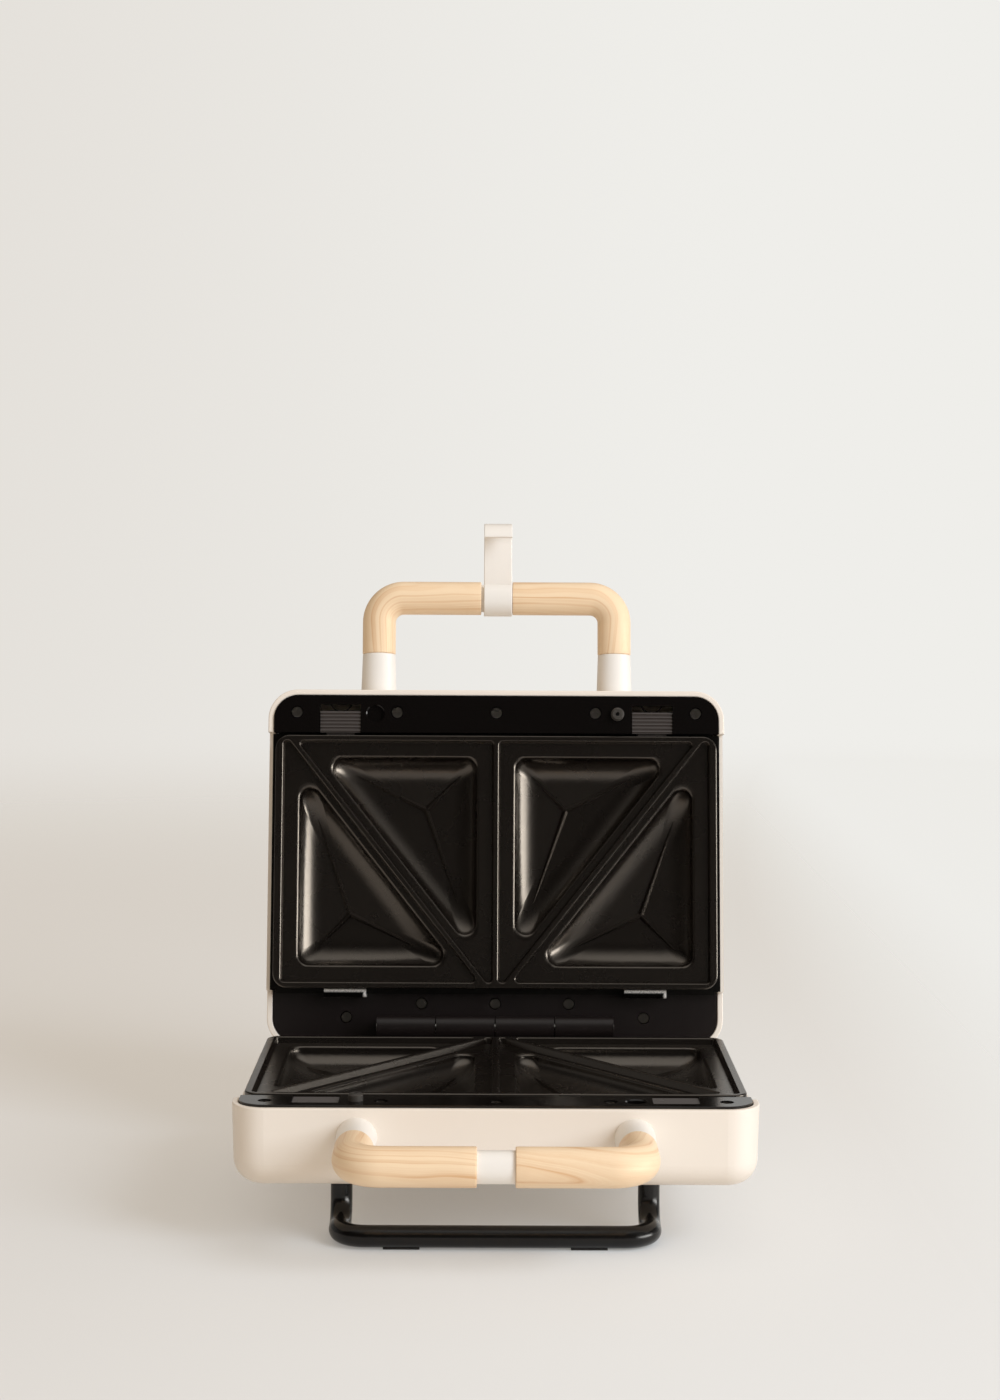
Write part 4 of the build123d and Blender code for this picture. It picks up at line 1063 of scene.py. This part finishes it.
def studio_world(settings):
    """Even light on the object; seen directly the pale background, and in reflections a room."""
    world = bpy.data.worlds.new("studio")
    bpy.context.scene.world = world
    world.use_nodes = True
    tree = world.node_tree
    tree.nodes.clear()
    direction = add(tree, "ShaderNodeTexCoord").outputs["Generated"]
    heading = add(tree, "ShaderNodeSeparateXYZ", {"Vector": direction})
    # Each row changes along one axis of the direction: its curve, start and end, and two values.
    trace = 0.03
    ceiling_light = settings.window / 13
    parts = {}
    for name, axis, curve, start, end, first, last in (
        # The background and the even light change from the shaded to the lit side.
        ("aside", "X", "SMOOTHSTEP", -0.25, 0.12, 0.0, 1.0),
        ("glow", "X", "LINEAR", -0.8, 0.8, 0.7 * settings.fill, 1.3 * settings.fill),
        # In front of the object the room is dim, as behind a camera, so black stays black.
        ("room", "Y", "SMOOTHSTEP", -0.5, 0.5, 0.05, 1.0),
        # Its walls are darker on the shaded side, beside the window and high up.
        ("shade", "X", "LINEAR", -0.6, 0.2, 0.3, 1.0),
        ("corner", "X", "SMOOTHSTEP", 0.5, 0.85, 1.0, 0.1),
        ("upper", "Z", "SMOOTHSTEP", 0.25, 0.5, 1.0, 0.15),
        # A window on the right and a ceiling draw the lights on dark pieces.
        ("window", "X", "SMOOTHSTEP", 0.3, 0.75, 0.0, settings.window),
        ("ceiling", "Z", "SMOOTHSTEP", 0.6, 0.95, 0.0, ceiling_light),
        # The window's edges. A trace of its light stays past each.
        ("sill", "Z", "SMOOTHSTEP", -0.13, -0.04, trace, 1.0),
        ("lintel", "Z", "SMOOTHSTEP", 0.24, 0.1, trace, 1.0),
        ("far_jamb", "Y", "SMOOTHSTEP", 0.12, -0.12, trace, 1.0),
        ("near_jamb", "Y", "SMOOTHSTEP", -0.8, -0.6, trace, 1.0),
    ):
        part = add(
            tree,
            "ShaderNodeMapRange",
            {
                "Value": heading.outputs[axis],
                "From Min": start,
                "From Max": end,
                "To Min": first,
                "To Max": last,
            },
            interpolation_type=curve,
        )
        parts[name] = part.outputs["Result"]
    for whole, names in (
        ("pane", ("window", "sill", "lintel", "far_jamb", "near_jamb")),
        ("walls", ("shade", "corner", "upper")),
    ):
        parts[whole] = parts[names[0]]
        for name in names[1:]:
            cut = add(
                tree, "ShaderNodeMath", {0: parts[whole], 1: parts[name]}, operation="MULTIPLY"
            )
            parts[whole] = cut.outputs["Value"]
    bright = add(
        tree, "ShaderNodeMath", {0: parts["pane"], 1: parts["ceiling"]}, operation="MAXIMUM"
    )
    mirrored = add(
        tree,
        "ShaderNodeMath",
        {0: parts["room"], 1: parts["walls"], 2: bright.outputs["Value"]},
        operation="MULTIPLY_ADD",
    )
    pale = add(
        tree,
        "ShaderNodeMix",
        {"Factor": parts["aside"], COLOUR_A: list(settings.left), COLOUR_B: list(settings.right)},
        data_type="RGBA",
    )
    path = add(tree, "ShaderNodeLightPath")
    strength = add(
        tree,
        "ShaderNodeMix",
        {
            "Factor": path.outputs["Is Camera Ray"],
            FLOAT_A: mirrored.outputs["Value"],
            FLOAT_B: 1.0,
        },
        data_type="FLOAT",
    )
    seen = add(
        tree,
        "ShaderNodeBackground",
        {"Color": pale.outputs[COLOUR_OUT], "Strength": strength.outputs[FLOAT_OUT]},
    )
    fill = add(tree, "ShaderNodeBackground", {"Color": WARM_FILL, "Strength": parts["glow"]})
    shiny = add(
        tree,
        "ShaderNodeMath",
        {0: path.outputs["Is Glossy Ray"], 1: path.outputs["Is Transmission Ray"]},
        operation="MAXIMUM",
    )
    direct = add(
        tree,
        "ShaderNodeMath",
        {0: path.outputs["Is Camera Ray"], 1: shiny.outputs["Value"]},
        operation="MAXIMUM",
    )
    mixed = add(
        tree,
        "ShaderNodeMixShader",
        {
            "Fac": direct.outputs["Value"],
            1: fill.outputs["Background"],
            2: seen.outputs["Background"],
        },
    )
    add(tree, "ShaderNodeOutputWorld", {"Surface": mixed.outputs["Shader"]})


def side_softbox(settings):
    """A soft box on the right. Reflections show the mirrored window and not this lamp."""
    turn = (LAMP_AIM - LAMP_PLACE).to_track_quat("-Z", "Y").to_euler()
    bpy.ops.object.light_add(type="AREA", location=LAMP_PLACE, rotation=turn)
    lamp = bpy.context.active_object
    lamp.name = "side_softbox"
    lamp.data.shape = "RECTANGLE"
    lamp.data.size, lamp.data.size_y = LAMP_SIZE
    lamp.data.energy = settings.key
    lamp.data.color = COOL_KEY
    lamp.visible_glossy = False


class TOASTER_OT_stage(bpy.types.Operator):
    """Builds the floor, the background, the lamp and the camera"""

    bl_idname = "toaster.stage"
    bl_label = "Studio"

    def execute(self, context):
        settings = context.scene.toaster_studio
        bpy.ops.object.select_all(action="DESELECT")
        bpy.ops.mesh.primitive_circle_add(
            vertices=FLOOR_SIDES,
            radius=FLOOR_RADIUS,
            fill_type="NGON",
            location=(0, 0, -FLOOR_DROP),
        )
        floor = context.active_object
        floor.name = "paper_floor"
        floor.data.materials.append(paper_floor(settings))
        studio_world(settings)
        side_softbox(settings)
        bpy.ops.object.camera_add(location=EYE)
        camera = context.active_object
        look = Matrix.Rotation(EYE_HEADING, 3, "Z") @ Matrix.Rotation(pi / 2 - EYE_DIP, 3, "X")
        camera.rotation_euler = (look @ Matrix.Rotation(EYE_ROLL, 3, "Z")).to_euler()
        camera.data.lens = settings.lens
        camera.data.sensor_width = SENSOR_WIDTH
        context.scene.camera = camera
        context.scene.view_settings.view_transform = "Standard"
        return {"FINISHED"}


class TOASTER_PT_pieces(bpy.types.Panel):
    """The pieces and the studio"""

    bl_idname = "TOASTER_PT_pieces"
    bl_label = "Sandwich toaster"
    bl_space_type = "VIEW_3D"
    bl_region_type = "UI"
    bl_category = "Toaster"

    def draw(self, context):
        for operator in OPERATORS:
            self.layout.operator(operator.bl_idname)
        for group in SETTINGS:
            settings = getattr(context.scene, group)
            for name in settings.bl_rna.properties.keys():
                if name not in ("rna_type", "name"):
                    self.layout.prop(settings, name)


SETTINGS = {
    "toaster_casing": CasingSettings,
    "toaster_plates": PlateSettings,
    "toaster_wood": WoodSettings,
    "toaster_studio": StudioSettings,
}
OPERATORS = (
    TOASTER_OT_casing,
    TOASTER_OT_trims,
    TOASTER_OT_plates,
    TOASTER_OT_fittings,
    TOASTER_OT_stand,
    TOASTER_OT_insides,
    TOASTER_OT_springs,
    TOASTER_OT_grips,
    TOASTER_OT_stage,
)


def register():
    """Registers the settings, the operators and the panel."""
    for name, group in SETTINGS.items():
        bpy.utils.register_class(group)
        setattr(bpy.types.Scene, name, PointerProperty(type=group))
    for cls in OPERATORS + (TOASTER_PT_pieces,):
        bpy.utils.register_class(cls)


def unregister():
    """Takes them away again."""
    for cls in (TOASTER_PT_pieces,) + OPERATORS[::-1]:
        bpy.utils.unregister_class(cls)
    for name, group in SETTINGS.items():
        delattr(bpy.types.Scene, name)
        bpy.utils.unregister_class(group)


def main():
    """Builds every piece and the studio."""
    register()
    for operator in OPERATORS:
        getattr(bpy.ops.toaster, operator.bl_idname.split(".")[1])()


if __name__ == "__main__":
    main()
